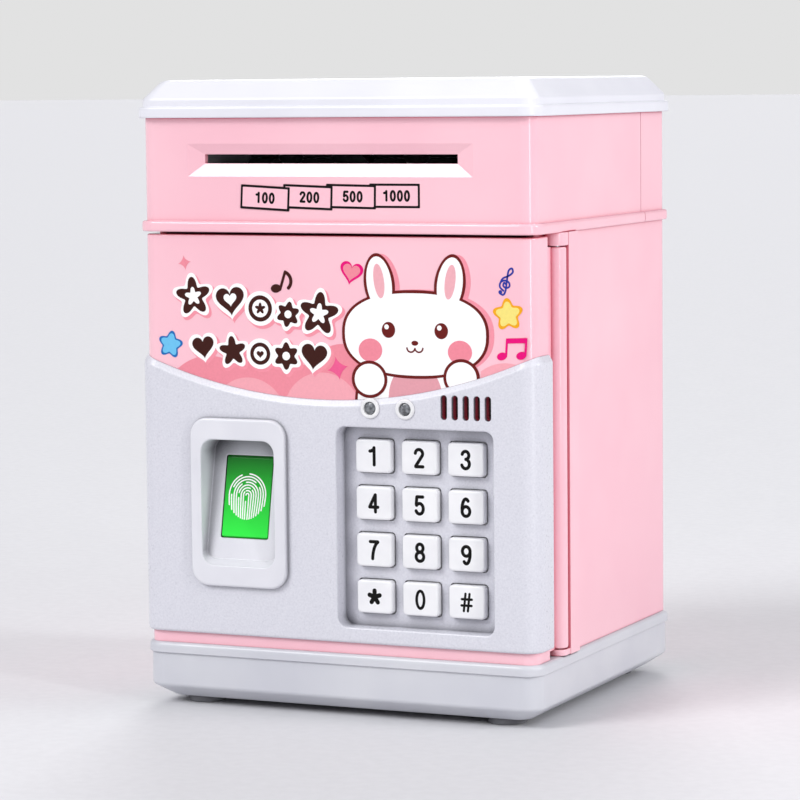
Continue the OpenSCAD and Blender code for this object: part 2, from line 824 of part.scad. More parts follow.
module liner_screws() {
    color("silver")
        for (x = post_xs, z = post_zs) {
            rod_y(x, door_back - 0.75, z, 2.4, 0.7);
            rod_y(x, door_back - 6.7, z, 1.05, 6);
        }
}

module keypad_mat() {
    color("whitesmoke") {
        front_plate(keypad_x, keypad_z, 48, 58, 2, mat_y, mat_y + 0.5);
        for (i = [-1:1], j = [-1.5:1:1.5])
            rod_y(keypad_x + i * key_pitch_x, mat_y - 0.2, keypad_z + j * key_pitch_z, 3, 0.3);
    }
}

module keypad_board() {
    color("darkgreen") {
        front_plate(keypad_x, keypad_z, 52, 62, 1, board_y, liner_y - 0.1);
        block(20, 32, board_y - 0.9, board_y + 0.1, 91, 105);
        block(17, 35, board_y, liner_y - 0.1, 88, 108);
    }
}

module key_cap(i, j) {
    x = keypad_x + i * key_pitch_x;
    z = keypad_z + j * key_pitch_z;
    color("white") {
        front_plate(x, z, key_w, key_h, 1, key_front, key_flange + 0.1);
        front_plate(x, z, key_w + 1.8, key_h + 1.8, 1, key_flange, key_back);
    }
}

// Key from its place in the list: three columns, four rows from the top
module key(k) {
    key_cap(k % 3 - 1, 1.5 - floor(k / 3));
}

module status_leds() {
    for (x = led_xs) {
        color("white")
            difference() {
                union() {
                    rod_y(x, panel_front - 0.6, led_z, 3.1, 0.6);
                    rod_y(x, panel_front - 0.1, led_z, 2.5, 5);
                }
                rod_y(x, -70, led_z, 2, 30);
            }
        color("darkslategray")
            rod_y(x, panel_front - 0.3, led_z, 2, 6);
    }
}

module speaker() {
    color("dimgray") {
        rod_y(speaker_x, front_y + wall_t + 0.1, speaker_z, 10, 2.4);
        rod_y(speaker_x, front_y + wall_t + 2.4, speaker_z, 6, 2.2);
    }
}

module lock_motor() {
    z0 = lock_z + 5;
    color("silver") {
        block(lock_x - 6, lock_x + 6, lock_y - 5, lock_y + 5, z0, z0 + 9);
        intersection() {
            block(lock_x - 6, lock_x + 6, lock_y - 5, lock_y + 5, z0 + 9, z0 + 24);
            rod_z(lock_x, lock_y, z0 + 8, 6, 17);
        }
        rod_z(lock_x, lock_y, lock_z - 4, motor_shaft_r, 10);
    }
}

module lock_pinion() {
    color("ivory")
        translate([lock_x, lock_y, lock_z - 2.5])
            difference() {
                rotate([0, 0, 90])
                    linear_extrude(5)
                        polygon(gear_points(lock_module, lock_teeth));
                translate([0, 0, -1])
                    cylinder(r = motor_shaft_r + run_gap, h = 7);
            }
}

module latch_bolt() {
    step = PI * lock_module;
    low = 1.15 * lock_module;
    high = 0.85 * lock_module;
    half = step / 4 * 0.86;
    color("lightsteelblue") {
        block(bolt_x[0], bolt_x[1], bolt_y[0], bolt_y[1], lock_z - 4, lock_z + 4);
        for (i = [-4:5])
            translate([lock_x + (i - 0.5) * step, 0, lock_z - 2])
                linear_extrude(4)
                    polygon([
                        [-half - low * tan(PRESSURE), rack_y + low],
                        [-half + high * tan(PRESSURE), rack_y - high],
                        [half - high * tan(PRESSURE), rack_y - high],
                        [half + low * tan(PRESSURE), rack_y + low]
                    ]);
    }
}

module latch_cover() {
    t = 1.4;
    color("mistyrose")
        difference() {
            block(latch_x[0], latch_x[1], door_back, latch_cover_y, latch_z[0], latch_z[1]);
            difference() {
                block(latch_x[0] + t, latch_x[1] - t, door_back - 1, latch_cover_y - t,
                    latch_z[0] + t, latch_z[1] - t);
                block(latch_x[0] + 4, latch_x[0] + 6, -60, 0, lock_z - 10, lock_z + 10);
                block(lock_x + 8, lock_x + 10, -60, 0, lock_z - 10, lock_z + 10);
            }
            block(bolt_x[0] - 10, bolt_x[1] + 1, bolt_y[0] - 1.9, bolt_y[1] + 0.3, lock_z - 4.3, lock_z + 4.3);
        }
}

base_tray();
feet();
battery_cover();
battery_cover_screw();
aa_cells();
battery_contacts();
base_screws();
body_shell();
strike_plate();
hinge_pins();
hood_deck();
hood_shell();
hood_rear();
hood_screws();
top_cap();
coin_chute();
feed_frame();
note_motor();
note_guide();
note_switch();
drive_shaft();
drive_gear();
drive_rings();
pinch_shaft();
pinch_rings();
idler_gear();
motor_pinion();
switch_lever();
door_shell();
control_panel();
fingerprint_bezel();
fingerprint_window();
door_liner();
liner_screws();
keypad_mat();
keypad_board();
status_leds();
speaker();
window_board();
lock_motor();
latch_cover();
latch_bolt();
lock_pinion();
for (k = [0:11])
    key(k);
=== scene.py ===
import math

import bmesh
import bpy
import numpy as np
from mathutils import Matrix, Vector


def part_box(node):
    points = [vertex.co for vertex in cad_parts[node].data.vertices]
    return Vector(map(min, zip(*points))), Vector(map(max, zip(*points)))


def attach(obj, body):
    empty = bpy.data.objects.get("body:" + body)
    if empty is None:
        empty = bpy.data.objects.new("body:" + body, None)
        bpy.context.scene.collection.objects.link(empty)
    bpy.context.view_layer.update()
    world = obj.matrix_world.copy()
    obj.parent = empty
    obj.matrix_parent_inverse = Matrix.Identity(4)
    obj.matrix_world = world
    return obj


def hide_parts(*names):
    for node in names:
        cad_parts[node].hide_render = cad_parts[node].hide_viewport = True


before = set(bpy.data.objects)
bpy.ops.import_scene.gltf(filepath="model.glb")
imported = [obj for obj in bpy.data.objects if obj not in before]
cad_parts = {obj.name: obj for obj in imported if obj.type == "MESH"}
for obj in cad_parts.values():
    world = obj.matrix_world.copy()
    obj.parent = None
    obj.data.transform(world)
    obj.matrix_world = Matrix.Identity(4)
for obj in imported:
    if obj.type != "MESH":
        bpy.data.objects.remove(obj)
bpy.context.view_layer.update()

# Toy safe coin bank: its looks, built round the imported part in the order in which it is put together.
# Lengths are in millimetres, and meshes are turned to metres as they are made.

# ---------- Base tray ----------
# A grey tray under the whole bank, injection moulded in ABS. A rim and a band run round it, its
# foot is drawn in by a wide chamfer, and it holds the battery bay, four screw wells and four feet.

MM = 0.001


def corners(node):
    """Lowest and highest corner of a CAD node, in millimetres."""
    return tuple(np.array(v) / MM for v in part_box(node))


def full_turn(count):
    """Evenly spaced angles of one turn, the last one short of the first."""
    return np.linspace(0, 2 * math.pi, count, endpoint=False)


def rounded_rectangle(x0, x1, y0, y1, r, r_rear=None, steps=8):
    """Outlines of rectangles with round corners, one row for each entry of the arrays given.
    A corner's point is its centre plus r (cos a, sin a), and a goes on by a quarter turn there."""
    r_rear = r if r_rear is None else r_rear
    x0, x1, y0, y1, r, rr = (v[:, None] for v in np.broadcast_arrays(
        *(np.atleast_1d(np.asarray(v, float)) for v in (x0, x1, y0, y1, r, r_rear))))
    a = np.linspace(0, math.pi / 2, steps + 1)[None, :]
    centres = [(x0 + r, y0 + r, r, 2), (x1 - r, y0 + r, r, 3),
               (x1 - rr, y1 - rr, rr, 0), (x0 + rr, y1 - rr, rr, 1)]
    x = np.concatenate([cx + k * np.cos(a + q * math.pi / 2) for cx, cy, k, q in centres], 1)
    y = np.concatenate([cy + k * np.sin(a + q * math.pi / 2) for cx, cy, k, q in centres], 1)
    return np.stack([x, y], 2)


def softened(profile, setback, steps=5):
    """Profile whose inner corners P are rounded: (1-t)^2 (P + u d) + 2t(1-t) P + t^2 (P + v d),
    where u and v point to the neighbours of P and d is the corner's own setback."""
    p = np.asarray(profile, float)
    u, v = p[:-2] - p[1:-1], p[2:] - p[1:-1]
    u /= np.linalg.norm(u, axis=1, keepdims=True)
    v /= np.linalg.norm(v, axis=1, keepdims=True)
    d = np.broadcast_to(np.asarray(setback, float), len(p) - 2)[:, None, None]
    t = np.linspace(0, 1, steps + 1)[None, :, None]
    q = p[1:-1, None, :]
    bent = (1 - t) ** 2 * (q + u[:, None] * d) + 2 * t * (1 - t) * q + t ** 2 * (q + v[:, None] * d)
    return np.concatenate([p[:1], bent.reshape(-1, p.shape[1]), p[-1:]])


def mesh_of(points, faces):
    """Mesh from points in millimetres: doubles merged, loose bits dropped, faces turned outwards."""
    mesh = bpy.data.meshes.new("skin")
    mesh.from_pydata(np.asarray(points, float) * MM, [], faces)
    bm = bmesh.new()
    bm.from_mesh(mesh)
    bmesh.ops.remove_doubles(bm, verts=bm.verts, dist=0.002 * MM)
    bmesh.ops.dissolve_degenerate(bm, edges=bm.edges, dist=0.001 * MM)
    bmesh.ops.recalc_face_normals(bm, faces=bm.faces)
    bm.to_mesh(mesh)
    bm.free()
    return mesh


def loft(rings, closed=False):
    """Skin over a stack of outlines of equal length: point k of a ring joins point k of the next.
    The end rings are filled, or joined to each other where the stack is closed."""
    rings = np.asarray(rings, float)
    rows, count = rings.shape[:2]
    index = np.arange(rows * count).reshape(rows, count)
    a = index if closed else index[:-1]
    b = np.roll(index, -1, 0)[:len(a)]
    faces = np.stack([a, np.roll(a, -1, 1), np.roll(b, -1, 1), b], 2).reshape(-1, 4).tolist()
    if not closed:
        faces += [index[0].tolist(), index[-1].tolist()]
    return mesh_of(rings.reshape(-1, 3), faces)


def upright(outlines, z):
    """Outlines in plan, each lifted to its own height."""
    z = np.broadcast_to(np.asarray(z, float).reshape(-1, 1), outlines.shape[:2])
    return np.concatenate([outlines, z[..., None]], 2)


def facing(outlines, y):
    """Outlines as seen from the front, each set at its own depth."""
    y = np.broadcast_to(np.asarray(y, float).reshape(-1, 1), outlines.shape[:2])
    return np.stack([outlines[..., 0], y, outlines[..., 1]], 2)


def box_mesh(x0, x1, y0, y1, z0, z1):
    """Block between two corners: its outline in plan at two heights."""
    return loft(upright(rounded_rectangle(np.full(2, x0), x1, y0, y1, 0.001, steps=1), [z0, z1]))


def turned(profile, x, y, count=48):
    """Round piece on an upright axis: each (radius, height) of the profile goes round a full turn."""
    p = np.asarray(profile, float)
    a = full_turn(count)
    ring = np.stack([np.cos(a), np.sin(a)], 1)
    return loft(upright(np.array([x, y]) + p[:, :1, None] * ring[None], p[:, 1]))


def post(x, y, r, z0, z1, count=48):
    """Upright round bar: a circle at two heights."""
    return turned([(0.01, z0), (r, z0), (r, z1), (0.01, z1)], x, y, count)


def plan_block(lo, hi, gap, z0, z1):
    """Block over the plan of a node's box, grown by a gap, between two heights."""
    return box_mesh(lo[0] - gap, hi[0] + gap, lo[1] - gap, hi[1] + gap, z0, z1)


def joined(mesh, others, operation):
    """Mesh after others are cut from it ("DIFFERENCE") or melted into it ("UNION"), one by one."""
    made = bpy.data.objects.new("work", mesh)
    bpy.context.scene.collection.objects.link(made)
    helpers = []
    for other in others:
        helper = bpy.data.objects.new("helper", other)
        bpy.context.scene.collection.objects.link(helper)
        helpers.append(helper)
        step = made.modifiers.new("step", "BOOLEAN")
        step.object, step.operation, step.solver = helper, operation, "EXACT"
    result = bpy.data.meshes.new_from_object(made.evaluated_get(bpy.context.evaluated_depsgraph_get()))
    for o in [made, *helpers]:
        bpy.data.objects.remove(o)
    return result


def cut(mesh, *tools):
    """Mesh less the tools."""
    return joined(mesh, tools, "DIFFERENCE")


def melted(mesh, *others):
    """Mesh made one with the others."""
    return joined(mesh, others, "UNION")


def place(name, mesh, body, stands_for, material, edge=0.0, corner=32):
    """Puts a finished mesh on its body. Edges sharper than the corner angle, in degrees, get a small
    round of the width given, and normals are weighted by face area so that flat faces stay flat."""
    piece = bpy.data.objects.new(name, mesh)
    bpy.context.scene.collection.objects.link(piece)
    mesh.name = name
    mesh.materials.clear()
    mesh.materials.append(material)
    mesh.polygons.foreach_set("material_index", np.zeros(len(mesh.polygons), np.int32))
    mesh.shade_smooth()
    mesh.set_sharp_from_angle(angle=math.radians(corner))
    if edge:
        bevel = piece.modifiers.new("edge", "BEVEL")
        bevel.width, bevel.segments, bevel.limit_method = edge * MM, 3, "ANGLE"
        bevel.angle_limit, bevel.use_clamp_overlap = math.radians(corner), True
    weighted = piece.modifiers.new("weighted", "WEIGHTED_NORMAL")
    weighted.keep_sharp = True
    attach(piece, body)
    if stands_for:
        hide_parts(*stands_for)


def linear(code):
    """Linear RGBA of an sRGB hex colour: c/12.92 below 0.04045, else ((c + 0.055)/1.055)^2.4."""
    c = np.array([int(code[i:i + 2], 16) for i in (1, 3, 5)]) / 255
    return [*np.where(c <= 0.04045, c / 12.92, ((c + 0.055) / 1.055) ** 2.4), 1.0]


def add(tree, kind, inputs=None, stops=None, **settings):
    """Adds one shader node. Settings are its properties, stops its ramp's places and colours, and
    inputs give its sockets a value or link them to another node's output."""
    node = tree.nodes.new("ShaderNode" + kind)
    for name, value in settings.items():
        setattr(node, name, value)
    if stops:
        while len(node.color_ramp.elements) < len(stops):
            node.color_ramp.elements.new(0.5)
        for element, (position, colour) in zip(node.color_ramp.elements, stops):
            element.position, element.color = position, colour
    for name, value in (inputs or {}).items():
        if isinstance(value, bpy.types.NodeSocket):
            tree.links.new(value, node.inputs[name])
        else:
            node.inputs[name].default_value = value
    return node


def mottle(tree, where, size, detail=2.0):
    """Noise whose blobs are about `size` millimetres across."""
    return add(tree, "TexNoise", {
        "Vector": where, "Scale": 1 / (size * MM), "Detail": detail, "Roughness": 0.5}).outputs[0]


def surface(name, colour, roughness, grain=None, lift=0.0, detail=2.0, **sockets):
    """Material skeleton: colour(tree, where) and roughness(tree, where) each build their own nodes on
    Object coordinates and return a socket. Grain and lift are the size of the surface's bumps and
    their height, in millimetres, and the sockets are the shader's own settings."""
    material = bpy.data.materials.new(name)
    material.use_nodes = True
    tree = material.node_tree
    tree.nodes.clear()
    where = add(tree, "TexCoord").outputs["Object"]
    inputs = {key.replace("_", " "): value for key, value in sockets.items()}
    inputs["Base Color"] = colour(tree, where)
    inputs["Roughness"] = roughness(tree, where)
    if grain:
        inputs["Normal"] = add(tree, "Bump", {
            "Height": mottle(tree, where, grain, detail), "Distance": lift * MM, "Strength": 1.0}).outputs[0]
    shader = add(tree, "BsdfPrincipled", inputs)
    add(tree, "OutputMaterial", {"Surface": shader.outputs[0]})
    return material


def shaded(low, high, size, detail=2.0, span=(0.35, 0.65)):
    """Colour that drifts between two hex colours over blobs of a size in millimetres."""
    def build(tree, where):
        stops = [(span[0], linear(low)), (span[1], linear(high))]
        return add(tree, "ValToRGB", {"Fac": mottle(tree, where, size, detail)}, stops).outputs[0]
    return build


def patchy(low, high, size):
    """Roughness that drifts between two values over blobs of a size in millimetres."""
    def build(tree, where):
        return add(tree, "MapRange", {
            "Value": mottle(tree, where, size), "From Min": 0.3, "From Max": 0.7,
            "To Min": low, "To Max": high}).outputs[0]
    return build


def with_painted_hollow_shade(colour, reach, dark="#3c3c40"):
    """Colour with painted shade: it is darkened in wells and inner corners, by how much of the sky is hidden
    within a reach in millimetres."""
    def build(tree, where):
        sky = add(tree, "AmbientOcclusion", {"Distance": reach * MM}, samples=8).outputs["AO"]
        stops = [(0.3, linear(dark)), (0.78, linear("#ffffff"))]
        painted_shade_veil = add(tree, "ValToRGB", {"Fac": sky}, stops).outputs[0]
        return add(tree, "VectorMath", {0: colour(tree, where), 1: painted_shade_veil}, operation="MULTIPLY").outputs[0]
    return build


# ABS moulded in a tool with a fine satin spark finish: an even light grey whose gloss breaks up softly.
# Painted shade darkens it in grooves and inner corners.
satin_grey = surface(
    "moulded_satin_grey_abs", with_painted_hollow_shade(shaded("#cacbd3", "#d3d4da", 30), 2.5, "#58585e"),
    patchy(0.3, 0.38, 6), 0.45, 0.012, IOR=1.53)

tray_lo, tray_hi = corners("base_tray")
rim, rim_h, rim_r = 1.5, 3.3, 6.5
band, band_r, chamfer, chamfer_h = 0.8, 6.0, 6.0, 4.0
wall_lo, wall_hi = tray_lo + rim, tray_hi - rim
ground, base_top = tray_lo[2], tray_hi[2]


def walled(profile, setback, closed=False):
    """Loft of rounded rectangles round the bank's walls: each point of the softened profile gives
    one's margin past the walls, its height and its corner radius."""
    margin, z, r = softened(profile, setback).T
    return loft(upright(rounded_rectangle(wall_lo[0] - margin, wall_hi[0] + margin,
                                          wall_lo[1] - margin, wall_hi[1] + margin, r), z), closed)


foot_r, foot_sink = 6.0, 0.8
foot_at = [(x, y) for x in (-51, 51) for y in (-45, 45)]
well_at = [(x, y) for x in (-42, 42) for y in (-36, 40)]
well_r, well_waist_r, well_roof = 3.8, 3.3, 5
below = -1
tray = walled([(-20, ground, 3), (band - chamfer, ground, 4), (band, ground + chamfer_h, band_r),
               (band, base_top - rim_h - 0.2, band_r), (rim, base_top - rim_h, rim_r),
               (rim, base_top, rim_r), (-6, base_top, 4), (-12, base_top, 4)],
              [0.8, 0.9, 0.15, 0.2, 1.6, 0.3])
hollow_x, hollow_front, hollow_rear, hollow_floor = 62.8, -43, wall_hi[1] - 2.2, ground + 6
cover_gap, cover_t = 0.2, 1.8
cover_lo, cover_hi = corners("battery_cover")
tray = cut(
    tray,
    box_mesh(-hollow_x, hollow_x, hollow_front, hollow_rear, hollow_floor, base_top + 3),
    plan_block(cover_lo, cover_hi, cover_gap, below, ground + cover_t),
    *[post(x, y, foot_r + 0.15, below, ground + foot_sink) for x, y in foot_at],
    *[turned([(0.01, below), (well_r, below), (well_r, ground), (well_waist_r, ground + 0.4),
              (well_waist_r, well_roof), (0.01, well_roof)], x, y) for x, y in well_at],
)
cells_lo, cells_hi = corners("aa_cells")
bay_gap, bay_wall, bay_roof = np.array([5.95, 1.25, 0]), 1.8, base_top + 0.8
bay_lo, bay_hi = cells_lo - bay_gap, cells_hi + bay_gap
bay_space = plan_block(bay_lo, bay_hi, 0, ground + 1, bay_roof)
bay = cut(plan_block(bay_lo, bay_hi, bay_wall, ground + cover_t + 0.1, bay_roof + 1), bay_space)
tray = cut(melted(tray, bay), bay_space)
place("base_tray_moulding", tray, "housing", ["base_tray"], satin_grey)

# ---------- Feet ----------
# Four round pads of grey rubber pressed into shallow seats under the tray. They are die cut, so
# their faces are flat and dull and their edges only slightly eased.

# Die cut rubber sheet: dull, with a fine cloudy bloom.
soft_rubber = surface("die_cut_grey_rubber", shaded("#6d6d72", "#7b7b80", 4), patchy(0.75, 0.9, 3),
                      0.3, 0.02, IOR=1.52)
foot_top = ground + foot_sink
foot_profile = softened([(0.01, 0), (foot_r, 0), (foot_r, foot_top), (0.01, foot_top)], [0.6, 0.15])
feet = [turned(foot_profile, x, y) for x, y in foot_at]
place("rubber_feet", melted(*feet), "housing", ["feet"], soft_rubber)

# ---------- Battery bay ----------
# A ribbed ABS lid under the tray, held by one zinc plated screw, closes over three AA cells. Each
# cell lies between a nickel plated spring and a plate, and wears a printed plastic sleeve.


def dress(material, *nodes):
    """Gives CAD nodes a material through their objects' slots."""
    for name in nodes:
        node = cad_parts[name]
        for material_slot in node.material_slots:
            material_slot.link = "OBJECT"
            material_slot.material = material


# Zinc plate over steel: bright grey, with the soft cloudy crystals of the plating.
zinc_plate = surface("zinc_plated_steel", shaded("#a9adb2", "#c6c9cd", 1.2), patchy(0.22, 0.38, 0.8),
                     0.5, 0.004, Metallic=1.0)
# Nickel plate over spring wire: warmer and brighter than zinc.
nickel_plate = surface("nickel_plated_spring_wire", shaded("#b8b2a6", "#d0cabd", 1.0), patchy(0.18, 0.3, 0.6),
                       0.4, 0.003, Metallic=1.0)


def sleeve_colour(tree, where):
    """Dark sleeve with a copper band at one end of each cell, split at a distance along X."""
    x = add(tree, "SeparateXYZ", {"Vector": where}).outputs["X"]
    end = (cells_lo[0] + 0.3 * (cells_hi[0] - cells_lo[0])) * MM
    side = add(tree, "Math", {0: x, 1: end}, operation="GREATER_THAN").outputs[0]
    return add(tree, "ValToRGB", {"Fac": side},
               [(0.0, linear("#b98a4e")), (1.0, linear("#2c2f36"))]).outputs[0]


# Shrunk PVC film: smooth and glossy, with a slow waviness.
cell_sleeve = surface("printed_pvc_cell_sleeve", sleeve_colour, patchy(0.2, 0.3, 5), 1.5, 0.01, IOR=1.53)
dress(satin_grey, "battery_cover")
dress(zinc_plate, "battery_cover_screw", "base_screws")
dress(nickel_plate, "battery_contacts")
dress(cell_sleeve, "aa_cells")

# ---------- Body shell ----------
# The pink ABS box of the vault: three walls and a floor in one moulding, open at the front. Its
# right front edge is drawn in to a round socket for the door's hinge barrel, with a flat strip
# behind it and a knuckle at the top and at the bottom that hold the hinge pins.

# Glossy ABS from a polished tool: a clean baby pink with a faint waviness in its reflections. Painted shade
# deepens it to rose in gaps and inner corners.
glossy_pink = surface(
    "polished_baby_pink_abs", with_painted_hollow_shade(shaded("#f8bfcc", "#fbc7d2", 45), 3.5, "#d87888"),
    patchy(0.13, 0.17, 30), 0.6, 0.003, IOR=1.53)

body_lo, body_hi = corners("body_shell")
pin_lo, pin_hi = corners("hinge_pins")
hinge_x, hinge_y = ((pin_lo + pin_hi) / 2)[:2]
wall_t, corner_r, knuckle_r, knuckle_low, knuckle_high = 2.2, 4.5, 3.4, 21.7, 143.3
in_w = wall_hi[0] - wall_t
socket_r = knuckle_r - 0.05
strip_y0, strip_y1 = hinge_y + 2.4, hinge_y + 10
pocket_x = 60.3


def arc(cx, cy, r, a0, a1, steps=10):
    """Points of a circle's arc: centre + r (cos a, sin a) between two angles in degrees."""
    a = np.radians(np.linspace(a0, a1, steps + 1))
    return np.stack([cx + r * np.cos(a), cy + r * np.sin(a)], 1)


def prism(outline, z0, z1, ease):
    """Straight prism on an outline in plan. Its ends are rounded by shrinking the outline towards its
    middle, by the share that the softened profile of (inset, height) gives."""
    middle = outline.mean(0)
    reach = np.linalg.norm(outline - middle, axis=1).mean()
    inset, z = softened([(0.3 * reach, z0), (0, z0), (0, z1), (0.3 * reach, z1)], ease).T
    return loft(upright(outline + inset[:, None, None] / reach * (middle - outline), z))


socket_a0 = math.degrees(math.asin((strip_y0 - hinge_y) / socket_r))
plan = np.concatenate([
    [(-wall_hi[0], body_lo[1])], arc(-wall_hi[0] + corner_r, body_hi[1] - corner_r, corner_r, 180, 90),
    arc(wall_hi[0] - corner_r, body_hi[1] - corner_r, corner_r, 90, 0),
    [(wall_hi[0], strip_y1), (body_hi[0], strip_y1), (body_hi[0], strip_y0)],
    arc(hinge_x, hinge_y, socket_r, socket_a0, 180, 16),
    [(pocket_x, hinge_y), (pocket_x, body_lo[1]), (pocket_x - 2, body_lo[1]), (pocket_x - 2, hinge_y + 5.3),
     (in_w, hinge_y + 5.3), (in_w, body_hi[1] - wall_t), (-in_w, body_hi[1] - wall_t), (-in_w, body_lo[1])],
])
floor_low, floor_high, sill_high, top = base_top + 2, base_top + 3.8, base_top + 3, body_hi[2]
shell = loft(upright(np.stack([plan, plan]), [base_top, top]))
vault_floor = box_mesh(-in_w - 1, in_w + 1, body_lo[1], body_hi[1] - 1, floor_low, floor_high)
sill = box_mesh(-in_w - 1, pocket_x - 1, body_lo[1], body_lo[1] + wall_t, base_top, sill_high)
corner_fill = box_mesh(in_w - 4, pocket_x - 0.5, body_lo[1] + 0.01, hinge_y + 5, base_top + 1, floor_high)
shell = melted(shell, vault_floor, sill, corner_fill)
tongue = np.concatenate([arc(hinge_x - 0.3, hinge_y, knuckle_r, 180, 360, 20),
                         [(body_hi[0] - 0.2, hinge_y + 4), (pocket_x - 0.1, hinge_y + 4)]])
shell = melted(shell, prism(tongue, base_top, knuckle_low, 0.4), prism(tongue, knuckle_high, top, 0.4))
boss_r, boss_low = 4, 8.1
shell = melted(shell, *[post(x, y, boss_r, boss_low, base_top + 2.5) for x, y in well_at])
place("vault_body", shell, "housing", ["body_shell"], glossy_pink, edge=0.5)

# ---------- Strike plate and hinge pins ----------
# The strike is a folded tab of zinc plated sheet inside the left wall, where the bolt catches.
# The pins are cut from bright steel wire and pressed into the knuckles.

# Cold drawn steel: the brightest metal here, with only a trace of unevenness.
bright_wire = surface("bright_drawn_steel_wire", shaded("#b5b8bb", "#cdd0d2", 0.8), patchy(0.15, 0.25, 0.5),
                      0.3, 0.002, Metallic=1.0)
dress(zinc_plate, "strike_plate")
dress(bright_wire, "hinge_pins")

# ---------- Hood ----------
# The pink ABS hood over the vault holds the note feed. A bead runs round its foot, its front has
# the note slot in a mitred recess, and its rear is a second shell that meets it at a seam.

# The same pink from an unpolished tool: duller and a little deeper.
inner_pink = surface("moulded_matt_pink_abs", shaded("#f3b6c4", "#f8c3cf", 20), patchy(0.42, 0.55, 5),
                     0.5, 0.015, IOR=1.53)
dress(inner_pink, "hood_deck")
dress(zinc_plate, "hood_screws")

hood_lo, hood_hi = corners("hood_shell")
rear_lo, _ = corners("hood_rear")
hood_bottom, hood_top = hood_lo[2], hood_hi[2]
bead, bead_h = 1.5, 3.2
inside = -wall_t
ring = walled([(inside, hood_top, 2.3), (0, hood_top, corner_r), (0, hood_bottom + bead_h, corner_r),
               (bead, hood_bottom + bead_h, 6), (bead, hood_bottom, 6), (inside, hood_bottom, 2.3),
               (inside, hood_top - 0.01, 2.3)], [0.3, 0.25, 1.1, 0.8, 0.2], closed=True)
far = 200
front_half = cut(ring, box_mesh(-far, far, hood_hi[1], far, 0, far * 2))
rear_half = cut(ring, box_mesh(-far, far, -far, rear_lo[1], 0, far * 2))

front_y = wall_lo[1]
slot_x, slot_z, slot_w, slot_h = -1.5, 169.5, 84, 2.8
recess_w, recess_h, recess_depth, recess_drop = 94.5, 9.8, 1.5, 0.4


def front_rings(x, z, w, h, r, y):
    """Rounded rectangles seen from the front, centred on (x, z), one at each depth y."""
    x, z, w, h, y = np.broadcast_arrays(*(np.asarray(v, float) for v in (x, z, w, h, y)))
    return facing(rounded_rectangle(x - w / 2, x + w / 2, z - h / 2, z + h / 2, r), y)


def front_block(x, z, w, h, r, y0, y1):
    """Straight block with round corners, seen from the front: one outline at two depths."""
    return loft(front_rings(x, z, w, h, r, [y0, y1]))


def lipped(x, z, w, h, r, y0, y1, lip):
    """Tool for a hole in a front face at y0: straight sides to y1 behind a lip rolled outwards,
    whose margin is lip (1 - sin a) at the depth lip (1 - cos a)."""
    a = np.linspace(0, math.pi / 2, 6)
    margin = np.concatenate([[lip], lip * (1 - np.sin(a)), [0]])
    y = np.concatenate([[y0 - 3], y0 + lip * (1 - np.cos(a)), [y1]])
    return loft(front_rings(x, z, w + 2 * margin, h + 2 * margin, r + margin, y))


guide_w, guide_h, slot_r = 94, 6.8, 0.15
front_inside = front_y + wall_t
guide_frame = front_block(slot_x, slot_z, guide_w, guide_h, 0.6, front_inside - 0.2, front_inside + 1.2)
front_half = melted(front_half, guide_frame)
frustum = loft(front_rings(
    slot_x, [slot_z - recess_drop, slot_z - recess_drop, slot_z - recess_drop * 0.9, slot_z],
    [recess_w + 0.5, recess_w + 0.5, recess_w, slot_w], [recess_h + 0.5, recess_h + 0.5, recess_h, slot_h],
    slot_r, [front_y - 2, front_y - 0.01, front_y + 0.12, front_y + recess_depth]))
mouth = front_block(slot_x, slot_z, slot_w, slot_h, slot_r, front_y + recess_depth - 0.3, front_y + 6)
front_half = cut(front_half, frustum, mouth)
boss_at = [(x, y) for x in (-59.1, 59.1) for y in (-46, 49)]
bore_r, boss_r, boss_low, boss_high = 1.3, 3.8, hood_bottom + 2, hood_bottom + 16
bosses = [turned([(bore_r, boss_low), (boss_r, boss_low), (boss_r, boss_high), (bore_r, boss_high),
                  (bore_r, boss_low)], x, y) for x, y in boss_at]
front_half = melted(front_half, bosses[0], bosses[2])
rear_half = melted(rear_half, bosses[1], bosses[3])
place("hood_front", front_half, "housing", ["hood_shell"], glossy_pink)
place("hood_back", rear_half, "housing", ["hood_rear"], glossy_pink)

# ---------- Printed notes on the hood ----------
# A row of four overlapping banknotes, pad printed on the hood in black and pink ink. Each colour
# is a film a few hundredths of a millimetre thick, and a later colour lies on an earlier one.

FILM = 0.02


def printed(name, outlines, level, body, material, origin=(0, front_y, 0), lean=0.0):
    """Ink films on a plane that leans back by an angle: outline (x, z) stands out from it by one
    film for each level. Each outline is a prism from just behind the plane to its own film, and
    neighbours in the list differ by a fifth of a film, so that no two faces share a plane."""
    t = math.radians(lean)
    right, up = np.array([1, 0, 0]), np.array([0, math.sin(t), math.cos(t)])
    out = np.array([0, -math.cos(t), math.sin(t)])
    points, faces, start = [], [], 0
    for k, outline in enumerate(outlines):
        flat = np.asarray(origin) + outline[:, :1] * right + outline[:, 1:] * up
        count = len(flat)
        index = np.arange(count)
        points += [flat - 0.01 * out, flat + FILM * (level + 0.2 * (k % 4)) * out]
        sides = np.stack([index, np.roll(index, -1), np.roll(index, -1) + count, index + count], 1) + start
        faces += sides.tolist() + [(index[::-1] + start).tolist(), (index + count + start).tolist()]
        start += 2 * count
    place(name, mesh_of(np.concatenate(points), faces), body, [], material)


def turn_outline(outline, x, z, degrees=0.0, scale=1.0):
    """Outline scaled, turned about its own origin and moved to (x, z)."""
    t = math.radians(degrees)
    spin = np.array([[math.cos(t), math.sin(t)], [-math.sin(t), math.cos(t)]])
    return scale * np.asarray(outline, float) @ spin + [x, z]


def grown(outline, margin):
    """Outline moved away from its own middle by a margin, each point along its own ray."""
    ray = outline - outline.mean(0)
    return outline + margin * ray / np.linalg.norm(ray, axis=1, keepdims=True)


